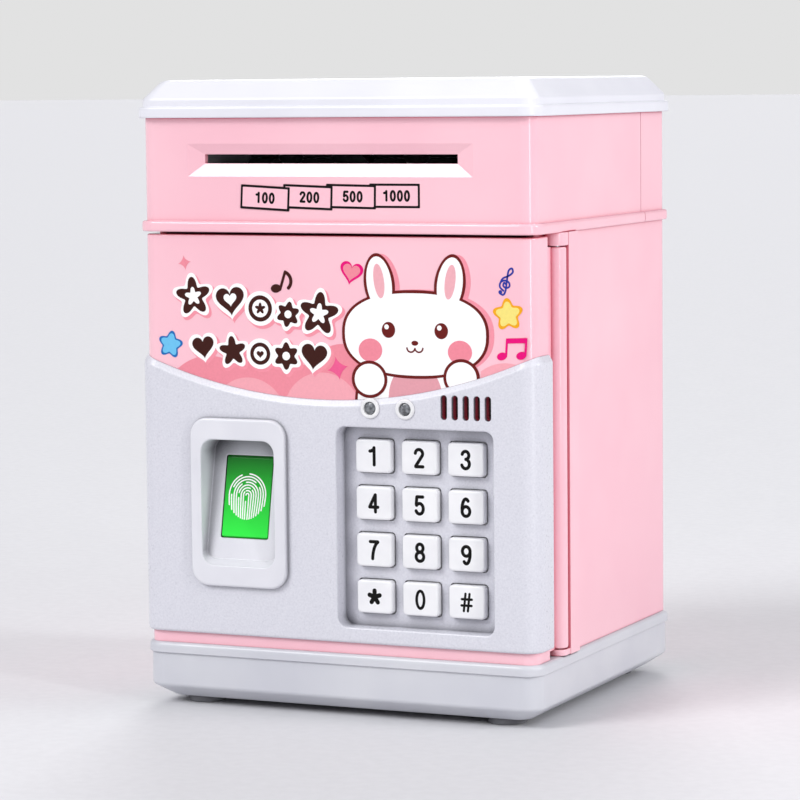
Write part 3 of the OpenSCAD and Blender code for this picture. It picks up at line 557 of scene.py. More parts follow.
def ink(name, code):
    """Pad printing ink: an even colour with the faint screen-dot mottle of a thin matt film."""
    thin = "#" + "".join(f"{int(int(code[i:i + 2], 16) * 0.985):02x}" for i in (1, 3, 5))
    return surface(name + "_pad_printing_ink", shaded(thin, code, 0.8), patchy(0.5, 0.58, 2), 0.25, 0.002,
                   IOR=1.5, Specular_IOR_Level=0.15)


black_ink = ink("black", "#0c0a0a")
pink_ink = ink("pink", "#fcc6d3")


def stroke(points, width, ends=6):
    """Line of ink with round ends: the path moved half its width to each side, along its normals,
    and half a circle round each end."""
    p = np.asarray(points, float)
    tangent = np.gradient(p, axis=0)
    a = np.arctan2(tangent[:, 1], tangent[:, 0])
    side = np.stack([-np.sin(a), np.cos(a)], 1) * width / 2
    half = np.linspace(0, math.pi, ends + 2)[1:-1]
    round_tip, round_tail = a[-1] + math.pi / 2 - half, a[0] - math.pi / 2 - half
    tip = p[-1] + width / 2 * np.stack([np.cos(round_tip), np.sin(round_tip)], 1)
    tail = p[0] + width / 2 * np.stack([np.cos(round_tail), np.sin(round_tail)], 1)
    return np.concatenate([p + side, tip, (p - side)[::-1], tail])


def bar(x0, z0, x1, z1):
    """Straight stroke between two points."""
    return np.linspace([x0, z0], [x1, z1], 4)


def bow(x, z, rx, rz, a0, a1):
    """Bent stroke along an ellipse (rx cos a, rz sin a) between two angles in degrees."""
    return [x, z] + arc(0, 0, 1, a0, a1, 16) * [rx, rz]


def hoop(x, z, rx, rz):
    """Closed stroke round an ellipse: two bows that overlap where they meet."""
    return [bow(x, z, rx, rz, 80, 280), bow(x, z, rx, rz, -100, 100)]


STROKE_TALL = 5.2
STROKES = {
    "0": hoop(0, 0, 1.2, 2.6),
    "1": [bar(0.35, -2.6, 0.35, 2.6), bow(-1.05, 2.75, 1.4, 1.2, -90, -10)],
    "2": [bow(0, 1.35, 1.2, 1.25, 175, -35), bar(0.95, 0.6, -1.15, -2.5), bar(-1.1, -2.6, 1.25, -2.6)],
    "3": [bow(0, 1.4, 1.1, 1.2, 165, -85), bow(0, -1.2, 1.25, 1.4, 85, -165)],
    "4": [bar(0.6, -2.6, 0.6, 2.6), bar(0.5, 2.5, -1.3, -1.1), bar(-1.3, -1.15, 1.4, -1.15)],
    "5": [bar(1.1, 2.6, -0.8, 2.6), bar(-0.85, 2.5, -1.05, 0.3), bow(0, -1.0, 1.25, 1.6, 140, -155)],
    "6": [*hoop(0, -1.15, 1.25, 1.45), bow(0, -0.6, 1.25, 3.2, 180, 55)],
    "7": [bar(-1.25, 2.6, 1.2, 2.6), bow(1.9, -3.1, 2.4, 5.8, 105, 175)],
    "8": [*hoop(0, 1.4, 1.05, 1.2), *hoop(0, -1.25, 1.25, 1.35)],
    "9": [*hoop(0, 1.15, 1.25, 1.45), bow(0, 0.6, 1.25, 3.2, 0, -125)],
    "star": [bar(0, 0, 1.9 * math.cos(a), 2.1 * math.sin(a)) for a in np.radians([90, 18, 162, 234, 306])],
    "hash": [bar(-0.9, -2.5, -0.35, 2.5), bar(0.35, -2.5, 0.9, 2.5),
             bar(-1.5, 0.9, 1.6, 0.9), bar(-1.6, -0.9, 1.5, -0.9)],
}


def figure(sign, x, z, tall, weight):
    """Outlines of a printed sign at (x, z), its strokes scaled to make it as tall as asked for."""
    scale = (tall - weight) / STROKE_TALL
    return [stroke(path * scale, weight) + [x, z] for path in STROKES[sign]]


def note_outline(inset, r):
    """Outline of a banknote inside its edge by an inset."""
    x, z = note_w / 2 - inset, note_h / 2 - inset
    return rounded_rectangle(-x, x, -z, z, r, steps=3)[0]


note_w, note_h, note_border = 16.5, 7.3, 0.7
first_x, first_z, step_x, step_z = -22.4, 157.8, 43.0 / 3, 0.27
VALUES = ("100", "200", "500", "1000")
for k in range(3, -1, -1):
    spot = (first_x + k * step_x, first_z + k * step_z, k - 3)
    value, level = VALUES[k], 1 + 3 * (3 - k)
    digits = []
    for n, sign in enumerate(value):
        along = 2.3 * (n - (len(value) - 1) / 2) + (0.6 if k else 0)
        digits += figure(sign, along, 0, 3.5, 0.72)
    for part, outlines, rise, film, slot in (
            ("border", [note_outline(0, 0.25)], 0, black_ink, "black_plastic"),
            ("field", [note_outline(note_border, 0.2)], 1, pink_ink, "pink_shell"),
            ("value", digits, 2, black_ink, "black_plastic")):
        printed(f"note_{k + 1}_{part}", [turn_outline(o, *spot) for o in outlines], level + rise,
                "housing", film)

# ---------- Cap ----------
# A white ABS lid with a stepped rim and a broad chamfer, pressed over the hood. The coin slot is
# in its rear half, above a chute of the same plastic that leads the coins down into the vault.

# Bright white ABS, moulded glossy: cool white that goes faintly grey where it is turned away.
gloss_white = surface("moulded_white_abs", shaded("#e4e4ec", "#eaeaf1", 35), patchy(0.27, 0.32, 30),
                      0.5, 0.004, IOR=1.53)
plateau = corners("top_cap")[1][2]
cap_rim, cap_rim_top, cap_slope = 2.0, hood_top + 3.4, 5
cap_outer = walled([(-wall_t, hood_top, 3), (cap_rim, hood_top, rim_r), (cap_rim, cap_rim_top, rim_r),
                    (band, cap_rim_top, 5.5), (band, hood_top + 5.7, 5.5), (band - cap_slope, plateau, 4),
                    (-30, plateau, 4)], [0.6, 0.9, 0.25, 0.6, 1.4])
cap_inner = walled([(-wall_t, hood_top - 1, 3), (-wall_t, cap_rim_top, 3),
                    (-wall_t - cap_slope, plateau - wall_t, 2), (-30, plateau - wall_t, 2)], [0.4, 0.4])
coin_lo, coin_hi = corners("coin_chute")
coin_y = (coin_lo[1] + coin_hi[1]) / 2
coin_l, coin_w, coin_r, coin_lip = 30, 3.6, 1.2, 0.7
lip_a = np.linspace(0, math.pi / 2, 6)
lip_m = np.concatenate([[0], coin_lip * (1 - np.sin(lip_a))[::-1], [coin_lip]])
lip_z = np.concatenate([[plateau - 12], plateau - coin_lip * (1 - np.cos(lip_a))[::-1], [plateau + 2]])
coin_tool = loft(upright(rounded_rectangle(
    -coin_l / 2 - lip_m, coin_l / 2 + lip_m, coin_y - coin_w / 2 - lip_m, coin_y + coin_w / 2 + lip_m,
    coin_r + lip_m), lip_z))
place("white_cap", cut(cap_outer, cap_inner, coin_tool), "housing", ["top_cap"], gloss_white)
dress(gloss_white, "coin_chute", "note_guide", "feed_frame")

# ---------- Note feed ----------
# A small can motor drives two rollers through acetal gears behind the slot. The shafts are bright
# steel, their rings are black rubber that grips the note, and the pinion is turned brass.

# Nickel plate on drawn sheet: smooth, grey and softly mirrored.
nickel_can = surface("nickel_plated_motor_can", shaded("#aeb0b2", "#c3c5c7", 6), patchy(0.25, 0.35, 2),
                     0.4, 0.004, Metallic=1.0)
# Acetal: ivory and waxy, with a low sheen.
acetal = surface("moulded_ivory_acetal", shaded("#ece6d6", "#f4efe2", 4), patchy(0.35, 0.45, 2),
                 0.4, 0.006, IOR=1.48)
# Brass off the lathe: warm yellow, with fine bright and dull patches.
turned_brass = surface("turned_brass", shaded("#c49a4a", "#dcb566", 1.5), patchy(0.2, 0.32, 0.7),
                       0.35, 0.004, Metallic=1.0)
# Ground rubber: near black and quite matt, with a fine tooth.
grip_rubber = surface("ground_black_rubber", shaded("#232325", "#303033", 1.5), patchy(0.7, 0.88, 1),
                      0.2, 0.03, IOR=1.52)
# ABS moulded black: a satin that shows as a grey bloom.
black_abs = surface("moulded_black_abs", shaded("#1d1d1f", "#28282b", 5), patchy(0.35, 0.5, 2),
                    0.35, 0.01, IOR=1.53)
dress(nickel_can, "note_motor")
dress(black_abs, "note_switch")
dress(bright_wire, "drive_shaft", "pinch_shaft", "switch_lever")
dress(grip_rubber, "drive_rings", "pinch_rings")
dress(acetal, "drive_gear", "idler_gear")
dress(turned_brass, "motor_pinion")

# ---------- Door ----------
# The pink ABS door is a shallow box, open at the back, with rounded front edges. A round barrel
# along its right side turns between the body's knuckles, and a web joins the two.

door_lo, door_hi = corners("door_shell")
door_low, door_high, door_back = door_lo[2], door_hi[2] + 0.5, front_y + 11.35
barrel_low, barrel_high, barrel_r = 22.0, 143.0, 3.0
inset, door_z = softened([(3, door_low), (0, door_low), (0, door_high), (3, door_high)], [0.9, 0.6]).T
block = rounded_rectangle(wall_lo[0] + inset, wall_hi[0] - inset, front_y + inset, door_back, corner_r, 0.3)
door = loft(upright(block, door_z))
liner_y = door_back - 1.2
post_at, post_r = [(x, z) for x in (-58.5, -8, 58.5) for z in (26, 138)], 2.7
cavity = box_mesh(-in_w, in_w - 1.6, front_y + wall_t, door_back + 2, door_low + 2, door_high - 2)


def front_circles(profile, x, z, count):
    """Circles seen from the front: one for each (radius, depth) of the profile, round (x, z)."""
    p = np.asarray(profile, float)
    return facing([x, z] + p[:, :1, None] * arc(0, 0, 1, 0, 360, count)[:-1], p[:, 1])


def round_bar(x, z, r, y0, y1):
    """Round bar from front to back: a circle at two depths."""
    return loft(front_circles([(r, y0), (r, y1)], x, z, 24))


cavity = cut(cavity, *[round_bar(x, z, post_r, front_y, liner_y) for x, z in post_at])
barrel = turned(softened([(0.01, barrel_low), (barrel_r, barrel_low), (barrel_r, barrel_high),
                          (0.01, barrel_high)], 0.7), hinge_x, hinge_y, 64)
web_x0, web_x1 = 61.3, 63.3
web = box_mesh(web_x0, web_x1, door_back - 1, hinge_y - 0.5, barrel_low, barrel_high)
door = melted(cut(door, cavity), barrel, web)

keypad_x, keypad_z, keypad_w, keypad_h = 26.6, 58.6, 51.3, 61
bezel_lo, bezel_hi = corners("fingerprint_bezel")
bezel_x, _, bezel_z = (bezel_lo + bezel_hi) / 2
bezel_w, _, bezel_h = bezel_hi - bezel_lo
bezel_in_w, bezel_in_h = 24.8, 38.7
led_at, led_z, led_r = (12.5, 24), 95.0, 2.7
grille_at = [43.6 + k * 3.55 for k in range(-2, 3)]
grille_z, grille_w, grille_h, grille_r = 95.9, 2, 7.4, 0.98
well_gap, before = 2.8, -70


def bezel_and_lamp_holes(y):
    """Tools for the holes of the bezel and of the two lamps, from well before the front to a depth."""
    return [front_block(bezel_x, bezel_z, bezel_in_w + well_gap, bezel_in_h + well_gap, 4, before, y),
            *[round_bar(x, led_z, led_r, before, y) for x in led_at]]


behind = front_y + 4
openings = [front_block(keypad_x, keypad_z, keypad_w + well_gap, keypad_h + well_gap, 3, before, behind),
            *bezel_and_lamp_holes(behind),
            *[front_block(x, grille_z, grille_w, grille_h, grille_r, before, behind) for x in grille_at]]
pin_hole_r, above_all = 1.25, 200
pin_hole = post(hinge_x, hinge_y, pin_hole_r, 0, above_all, 24)
place("pink_door", cut(door, *openings, pin_hole), "door", ["door_shell"], glossy_pink)

# ---------- Control panel ----------
# A silver grey ABS panel wraps the lower door on three sides. Its top edge sags in one long curve,
# its edges are rounded, and the keypad's well is moulded in it, with a hole for each key.

# ABS with a fine silver spark texture: semi-gloss, with a light and dark speckle about half a
# millimetre across that breaks up its highlights.
# Painted shade darkens it in the keypad's well and next to raised parts.
spark_grey = surface(
    "sparked_silver_grey_abs", with_painted_hollow_shade(shaded("#d2d2db", "#dddde5", 0.6, 3.0, (0.3, 0.7)), 4.5, "#6c6c72"),
    patchy(0.26, 0.36, 0.9), 0.45, 0.008, 3.0, IOR=1.53)
panel_lo, _ = corners("control_panel")
panel_front, panel_bottom, panel_back = panel_lo[1], panel_lo[2], door_back - 0.4
panel_t = front_y - panel_front
dip_x, dip_z, dip_r = -2.5, 97.0, 165.0


def dip(x):
    """Height of the panel's sagging top edge: a circle's lowest stretch, z + r - sqrt(r^2 - dx^2)."""
    return dip_z + dip_r - np.sqrt(dip_r ** 2 - (np.asarray(x) - dip_x) ** 2)


def around(d):
    """Path round the door's front at a distance d from it, from the left rear to the right rear."""
    x, y, r = wall_hi[0] + d, front_y - d, corner_r + d
    front = np.linspace(-wall_hi[0] + corner_r, wall_hi[0] - corner_r, 74)[1:-1]
    return np.concatenate([[(-x, panel_back), (-x, panel_back - 3)], arc(-x + r, y + r, r, 180, 270, 12),
                           np.stack([front, np.full_like(front, y)], 1), arc(x - r, y + r, r, 270, 360, 12),
                           [(x, panel_back - 3), (x, panel_back)]])


lower = softened([(0.0, 0.0), (panel_t, 0.0), (panel_t, 6.0)], [1.2])
upper = softened([(panel_t, -6.0), (panel_t, -1.9), (panel_t - 1.1, 0.0), (0.0, 0.0)], [0.5, 0.3])
offsets = np.concatenate([lower[:, 0], upper[:, 0]])
plan_paths = np.stack([around(d) for d in offsets], 1)
tops = dip(np.clip(plan_paths[:, :1, 0], -wall_hi[0], wall_hi[0]))
heights = np.concatenate([np.broadcast_to(panel_bottom + lower[:, 1], (len(plan_paths), len(lower))),
                          tops + upper[None, :, 1]], 1)
panel = loft(np.concatenate([plan_paths, heights[..., None]], 2))
well_t, keypad_floor = 1.3, panel_front + 6.3
well = front_block(keypad_x, keypad_z, keypad_w + 2 * well_t, keypad_h + 2 * well_t, 3,
                   front_y - 0.7, keypad_floor + well_t)
key_w, key_h, key_r, key_gap, pitch_x, pitch_z = 11.7, 10.1, 1.2, 0.7, 15.15, 14.3
through = front_y + 1
panel = cut(
    melted(panel, well),
    lipped(keypad_x, keypad_z, keypad_w, keypad_h, 2.8, panel_front, keypad_floor, 0.55),
    *bezel_and_lamp_holes(through),
    *[lipped(x, grille_z, grille_w, grille_h, grille_r, panel_front, through, 0.25) for x in grille_at],
    *[front_block(keypad_x + i * pitch_x, keypad_z + j * pitch_z, key_w + key_gap, key_h + key_gap, key_r,
                  -60, -40) for i in (-1, 0, 1) for j in (-1.5, -0.5, 0.5, 1.5)],
)
place("grey_panel", panel, "door", ["control_panel"], spark_grey)

# ---------- Fingerprint bezel and window ----------
# A raised frame of the panel's grey ABS, glued in the panel, leads down to a sloping floor. In
# the floor sits a button of clear green acrylic, lit from below, with a whorl printed on it.

window_tilt, window_y, window_z, window_w, window_l = 11.5, front_y + 3.3, 65.7, 15.7, 24.6
tilt = math.radians(window_tilt)
bezel_front = bezel_lo[1]


def floor_depth(z, drop):
    """Depth of the sloping floor at a height: y0 + (z - z0) tan tilt, plus a drop square to it."""
    return window_y + (z - window_z) * math.tan(tilt) + drop / math.cos(tilt)


def bezel_ring(margin_w, margin_h, r, y=None, drop=0.0, foot=0.0):
    """Outline of the bezel's opening grown by margins: flat at a depth y, or else on the sloping
    floor or a drop behind it. Its lowest stretch is lifted by up to the foot, so that the lower
    wall slants."""
    o = rounded_rectangle(bezel_x - bezel_in_w / 2 - margin_w, bezel_x + bezel_in_w / 2 + margin_w,
                          bezel_z - bezel_in_h / 2 - margin_h, bezel_z + bezel_in_h / 2 + margin_h, r)[0]
    o[:, 1] += foot * np.clip((bezel_z - bezel_in_h / 2 + 5 - o[:, 1]) / 5, 0, 1)
    return np.stack([o[:, 0], floor_depth(o[:, 1], drop) if y is None else np.full(len(o), y), o[:, 1]], 1)


frame_w, frame_h, bezel_r, bezel_foot = (bezel_w - bezel_in_w) / 2, (bezel_h - bezel_in_h) / 2, 4, 1.5
outer = softened([(frame_w, frame_h, panel_front), (frame_w, frame_h, bezel_front), (0, 0, bezel_front),
                  (0, 0, panel_front + 1)], [1.1, 0.6], 6)
rings = [bezel_ring(m, n, bezel_r + 1.5 * m / frame_w, y) for m, n, y in outer[:-1]]
for inward, drop in ((0, -0.5), (0.15, -0.13), (0.5, 0)):
    rings.append(bezel_ring(-inward, -inward, bezel_r - inward, drop=drop, foot=bezel_foot))
hole_w, hole_h = (window_w + 0.6 - bezel_in_w) / 2, (window_l + 0.6 - bezel_in_h) / 2
for grow, drop in ((0.25, 0), (0, 0.2), (0, well_t)):
    ring = bezel_ring(hole_w + grow, hole_h + grow, 0.6)
    ring[:, 2] += window_z - bezel_z
    ring[:, 1] = floor_depth(ring[:, 2], drop)
    rings.append(ring)
rings.append(bezel_ring(well_t, well_t, bezel_r + 1, drop=well_t))
rings.append(bezel_ring(well_t, well_t, bezel_r + 1, panel_front))
# ABS from a finely blasted tool: the same grey and smoother, with painted shade that darkens it down in the
# well.
smooth_grey = surface("moulded_silver_grey_abs", with_painted_hollow_shade(shaded("#dcdce3", "#e4e4ea", 20), 9),
                      patchy(0.3, 0.4, 5), 0.5, 0.012, IOR=1.53)
place("scanner_bezel", loft(np.stack(rings), closed=True), "door", ["fingerprint_bezel"],
      smooth_grey)


def painted_glow_green(tree, where):
    """Green of the acrylic with painted light that brightens it down the window, as a lamp at its foot would:
    a ramp on height.
    """
    z = add(tree, "SeparateXYZ", {"Vector": where}).outputs["Z"]
    reach = window_l / 2 * math.cos(tilt)
    share = add(tree, "MapRange", {
        "Value": z, "From Min": (window_z - reach) * MM, "From Max": (window_z + reach) * MM}).outputs[0]
    return add(tree, "ValToRGB", {"Fac": share}, [
        (0.0, linear("#35e649")), (0.45, linear("#2cc03c")), (0.8, linear("#25912f")),
        (1.0, linear("#217d2b"))]).outputs[0]


# Cast acrylic tinted green: clear gloss over a colour with a painted glow, as if lit a little from behind.
green_acrylic = surface("lit_green_acrylic", painted_glow_green, patchy(0.08, 0.14, 4), 3.0, 0.006, IOR=1.49,
                        Specular_IOR_Level=0.3)
# Painted glow: the window's colour is also fed to its emission.
tree = green_acrylic.node_tree
shader = next(n for n in tree.nodes if n.type == "BSDF_PRINCIPLED")
tree.links.new(shader.inputs["Base Color"].links[0].from_socket, shader.inputs["Emission Color"])
shader.inputs["Emission Strength"].default_value = 0.12


def on_window(outline, depth):
    """Outline (across, along the slope) set on the window's plane at a depth behind its face."""
    right, up = np.array([1.0, 0, 0]), np.array([0, math.sin(tilt), math.cos(tilt)])
    inward = np.array([0, math.cos(tilt), -math.sin(tilt)])
    depth = np.asarray(depth, float).reshape(-1, 1, 1)
    return (np.array([bezel_x, window_y, window_z]) + outline[..., :1] * right + outline[..., 1:] * up
            + depth * inward)


lip_front, lip_back = well_t + 0.25, well_t + 0.9
inset, depth = softened([(2.0, 0.1), (0.0, 0.1), (0.0, lip_front), (-1.2, lip_front), (-1.2, lip_back),
                         (3, lip_back)], [0.35, 0, 0, 0]).T
window = loft(on_window(rounded_rectangle(-window_w / 2 + inset, window_w / 2 - inset,
                                          -window_l / 2 + inset, window_l / 2 - inset, 0.4), depth))
place("green_window", window, "window", ["fingerprint_window"], green_acrylic)

# The whorl is eight arches with spreading legs, each broken once by a short gap.
whorl = []
whorl_r, whorl_z, ridge_w, gap = 6.9, 0.6, 0.4, 3
for k in range(8):
    r = 0.5 + 0.82 * k
    a = np.linspace(math.pi, 0, 30)
    leg = np.linspace(1, 0, 16)[:-1] * 1.08 * math.sqrt(whorl_r ** 2 - r ** 2)
    spread = r - 0.05 * leg ** 1.5 * r / whorl_r
    path = np.concatenate([
        np.stack([-spread, -leg], 1), np.stack([r * np.cos(a), 1.05 * r * np.sin(a)], 1),
        np.stack([spread, -leg], 1)[::-1]]) + [0, whorl_z]
    first = 12 + (11 * k) % 31
    whorl += [stroke(path[:first], ridge_w), stroke(path[first + gap:], ridge_w)]
white_ink = ink("white", "#fffdfd")
printed("whorl_print", whorl, 3, "window", white_ink,
        (bezel_x, window_y + 0.1 / math.cos(tilt), window_z), window_tilt)

# ---------- Keys ----------
# Twelve white ABS keys rise through the well's floor, each on the rubber mat's dome. They are
# moulded with soft edges, and their figures are pad printed in black.

# ABS moulded white: a touch greyer than paper, with a soft even gloss.
key_white = surface("moulded_white_key_abs", shaded("#ebebee", "#f2f2f4", 9), patchy(0.3, 0.38, 3),
                    0.4, 0.008, IOR=1.53)
KEYS = ("1", "2", "3", "4", "5", "6", "7", "8", "9", "star", "0", "hash")
figure_h, flange_t, flange_out = 6.2, 0.8, 0.9
for key in KEYS:
    lo, hi = corners("key_" + key)
    x, _, z = (lo + hi) / 2
    front, flange, back = lo[1], hi[1] - flange_t, hi[1]
    inset, depth = softened([(3.5, front), (0, front), (0, flange), (-flange_out, flange),
                             (-flange_out, back), (3.5, back)], [0.75, 0, 0.1, 0.1]).T
    keycap = loft(front_rings(x, z, key_w - 2 * inset, key_h - 2 * inset, key_r, depth))
    place("keycap_" + key, keycap, "button_" + key, ["key_" + key], key_white)
    weight = {"star": 1.4, "hash": 0.75, "0": 0.9}.get(key, 1.02)
    printed("figure_" + key, figure(key, x, z, figure_h, weight), 1, "button_" + key, black_ink,
            (0, front, 0))

# ---------- Lamps, speaker, boards and lock inside the door ----------
# Two lamps in white clips, a small speaker, a rubber key mat, green circuit boards and the lock
# motor with its pinion and bolt. A matt pink liner and a cover close them in from behind.

# ABS moulded white and smooth: a clean glossy ring.
clip_white = surface("moulded_white_lamp_clip", shaded("#e8e8ea", "#f1f1f2", 4), patchy(0.25, 0.33, 2),
                     0.4, 0.006, IOR=1.53)
# Smoked epoxy: very glossy and grey, with slow waves that let the bright room play in it.
smoked_lens = surface("smoked_epoxy_lamp", shaded("#4a4c50", "#8b8e93", 1.2), patchy(0.05, 0.12, 1),
                      1.4, 0.12, IOR=1.55)
clip_in, clip_out, clip_shank, clip_lip, lamp_back = 2.0, 3.1, 2.5, panel_front - 0.6, panel_front + 5
clip_profile = softened([(clip_in, lamp_back), (clip_in, clip_lip), (clip_out, clip_lip),
                         (clip_out, panel_front - 0.02), (clip_shank, panel_front - 0.02),
                         (clip_shank, lamp_back)], [0.2, 0.45, 0, 0])
a = np.linspace(0, math.pi / 2, 8)
lens_profile = np.concatenate([np.stack([0.01 + 1.97 * np.sin(a), panel_front + 0.35 - 0.6 * np.cos(a)], 1),
                               [(1.98, lamp_back), (0.01, lamp_back)]])
clips = [loft(front_circles(clip_profile, x, led_z, 40), closed=True) for x in led_at]
lenses = [loft(front_circles(lens_profile, x, led_z, 32)) for x in led_at]
place("lamp_clips", melted(*clips), "door", ["status_leds"], clip_white)
place("lamp_lenses", melted(*lenses), "door", [], smoked_lens)

# Silicone rubber: milky and soft, without a hard highlight.
silicone = surface("moulded_translucent_silicone", shaded("#dedede", "#e9e9e9", 6), patchy(0.5, 0.62, 3),
                   0.3, 0.01, IOR=1.43)


def board_colour(tree, where):
    """Solder mask over copper: tracks where a coarse cell pattern's edges fall, darker mask between."""
    cell = add(tree, "TexVoronoi", {"Vector": where, "Scale": 1 / (2.5 * MM)},
               feature="DISTANCE_TO_EDGE").outputs[0]
    return add(tree, "ValToRGB", {"Fac": cell},
               [(0.05, linear("#2f8f4e")), (0.12, linear("#15602f"))]).outputs[0]


# Glass laminate under green solder mask: glossy, with lighter copper tracks.
circuit_board = surface("green_masked_circuit_board", board_colour, patchy(0.25, 0.4, 2), 0.5, 0.01, IOR=1.5)
dress(silicone, "keypad_mat")
dress(circuit_board, "keypad_board", "window_board")
dress(black_abs, "speaker")
dress(nickel_can, "lock_motor")
dress(acetal, "lock_pinion")
dress(zinc_plate, "latch_bolt", "liner_screws")
dress(inner_pink, "door_liner", "latch_cover")

# ---------- Printed picture on the door ----------
# A cheerful print over the door's pink front: rosy clouds along the panel's curve, a plain white
# rabbit, two rows of little brown signs in white outlines, and stars, hearts and notes.


def on_door(name, outlines, level, material):
    """Ink films on the door's front."""
    printed(name, outlines, level, "door", material)


def oval(x, z, rx, rz, degrees=0.0):
    """Ellipse (rx cos a, rz sin a), turned and moved to its place."""
    a = full_turn(48)
    return turn_outline(np.stack([rx * np.cos(a), rz * np.sin(a)], 1), x, z, degrees)


def star(x, z, r, degrees=90.0, points=5, sharp=0.24):
    """Star with round tips: radius r (1 - s + s cos(n a))."""
    a = full_turn(100)
    radius = r * (1 - sharp + sharp * np.cos(points * a))
    return turn_outline(np.stack([radius * np.cos(a), radius * np.sin(a)], 1), x, z, degrees)


def sparkle(x, z, r, degrees=0.0):
    """Four-pointed glint, the astroid (r cos^3 a, r sin^3 a)."""
    a = full_turn(48)
    return turn_outline(np.stack([r * np.cos(a) ** 3, r * np.sin(a) ** 3], 1), x, z, degrees)


def heart(x, z, size, degrees=0.0):
    """Heart of a width: (16 sin^3 a, 13 cos a - 5 cos 2a - 2 cos 3a - cos 4a) / 32."""
    a = -full_turn(72)
    up = 13 * np.cos(a) - 5 * np.cos(2 * a) - 2 * np.cos(3 * a) - np.cos(4 * a)
    return turn_outline(np.stack([16 * np.sin(a) ** 3, up], 1) / 32, x, z, degrees, size)


def cloud(x0, x1, puffs):
    """Bank of cloud that stands on the panel's curve: its top is the highest of its puffs' circles,
    z + sqrt(r^2 - dx^2), and its foot is the curve itself."""
    x = np.linspace(x0, x1, 90)
    tops = [pz + np.sqrt(np.clip(pr ** 2 - (x - px) ** 2, 0, None)) for px, pz, pr in puffs]
    top = np.maximum(np.max(tops, 0), dip(x) + 0.03)
    return np.concatenate([np.stack([x, dip(x) + 0.02], 1), np.stack([x, top], 1)[::-1]])


rose_ink = ink("rose", "#f0909f")
blush_ink = ink("blush", "#f5a9b4")
on_door("cloud_rose", [cloud(-55, 12, [(-42, 92, 17.3), (-26, 91, 17.2), (-12, 93, 14.5), (3, 102, 12)])],
        1, rose_ink)
on_door("cloud_blush", [cloud(-40, -18, [(-29, 90, 13)]), cloud(-16, 8, [(-4, 92, 13.2)]),
                        cloud(48, 64.9, [(56, 96, 13.5)])], 2, blush_ink)

outline_ink = ink("dark_red", "#6a1a18")
cheek_ink = ink("cheek_pink", "#f08c9c")
shade_ink = ink("shade_pink", "#f496a6")


def superoval(x, z, rx, rz):
    """Plump oval |x/rx|^2.4 + |z/rz|^2.4 = 1."""
    a, power = full_turn(72), 2 / 2.4
    c, s = np.cos(a), np.sin(a)
    return np.stack([x + rx * np.sign(c) * np.abs(c) ** power, z + rz * np.sign(s) * np.abs(s) ** power], 1)


def above_panel(outline):
    """Outline kept above the panel's curve."""
    return np.stack([outline[:, 0], np.maximum(outline[:, 1], dip(outline[:, 0]) + 0.04)], 1)


rabbit_x, rabbit_z, line = 26.8, 117.4, 0.95


def pair(dx, dz, rx, rz, lean=0):
    """Two ovals on either side of the rabbit's middle that lean outwards."""
    return [oval(rabbit_x + s * dx, rabbit_z + dz, rx, rz, -s * lean) for s in (-1, 1)]


def lined(outlines):
    """Outlines grown by the width of the drawn line round them, kept above the panel's curve."""
    return [above_panel(grown(o, line)) for o in outlines]


head, ears = superoval(rabbit_x, rabbit_z, 23.0, 12.3), pair(11.5, 15.0, 4.1, 8.2, 8)
trunk = above_panel(superoval(rabbit_x, 97, 19.0, 12))
chest = above_panel(superoval(rabbit_x, 97, 8.8, 11))
paws = [above_panel(oval(rabbit_x + s * 15.0, 104.2 + 0.6 * s, 4.9, 4.7)) for s in (-1, 1)]
smile = [stroke(arc(rabbit_x - 1.3, rabbit_z - 4.0, 1.3, 185, 350), 0.5),
         stroke(arc(rabbit_x + 1.3, rabbit_z - 4.0, 1.3, 190, 355), 0.5)]
nose = oval(rabbit_x, rabbit_z - 2.6, 1.1, 0.75)
shades = [above_panel(grown(head, line) + [1.6, 0.2]), *[grown(e, line) + [1.5, -0.2] for e in ears]]
on_door("rabbit_shadow", shades, 3, shade_ink)
on_door("rabbit_trunk_line", lined([trunk]), 4, outline_ink)
on_door("rabbit_trunk", [trunk], 5, white_ink)
on_door("rabbit_chest", [chest], 6, ink("dusty_pink", "#e3a0aa"))
on_door("rabbit_line", lined([head, *ears]), 7, outline_ink)
on_door("rabbit_white", [above_panel(head), *ears], 8, white_ink)
on_door("rabbit_inner_ears", pair(11.6, 15.8, 1.7, 5.2, 8), 9, ink("light_rose", "#efb0b9"))
on_door("rabbit_cheeks", pair(14.6, -5.0, 3.9, 3.5), 9, cheek_ink)
on_door("rabbit_face", [*pair(8.6, 1.2, 2.2, 2.4), nose, *smile], 9, outline_ink)
on_door("rabbit_eye_glints", [o - [0.6, 0] for o in pair(8.6, 2.1, 0.75, 0.75)], 10, white_ink)
on_door("rabbit_paw_lines", lined(paws), 10, outline_ink)
on_door("rabbit_paws", paws, 11, white_ink)

brown_ink = ink("brown", "#3d1813")
signs = [star(-47.5, 127.5, 6.0, 96), heart(-34.8, 126.8, 9.6, 6), oval(-24.6, 124.2, 4.0, 4.0),
         star(-15.2, 122.6, 3.9, 80, 6, 0.17), star(-4.8, 123.0, 6.6, 84), heart(-44.3, 112.3, 7.4, 8),
         star(-34.2, 111.0, 4.6, 96), oval(-24.8, 110.4, 3.4, 3.4), star(-16.0, 109.9, 4.2, 90, 6, 0.17),
         heart(-6.6, 110.4, 8.6, -6)]
on_door("signs_shadow", [grown(o, 1.5) + [0.7, -0.7] for o in signs], 3, shade_ink)
on_door("signs_outline", [grown(o, 1.3) for o in signs], 4, white_ink)
on_door("signs_brown", signs, 5, brown_ink)
centres = [oval(-24.6, 124.2, 2.7, 2.7), oval(-24.8, 110.4, 2.2, 2.2), oval(-15.2, 122.6, 1.2, 1.2),
           oval(-16.0, 109.9, 1.3, 1.3), heart(-34.8, 126.9, 4.4, 6), star(-47.5, 127.5, 2.9, 96),
           star(-4.8, 123.0, 3.2, 84)]
on_door("signs_centres", centres, 6, white_ink)
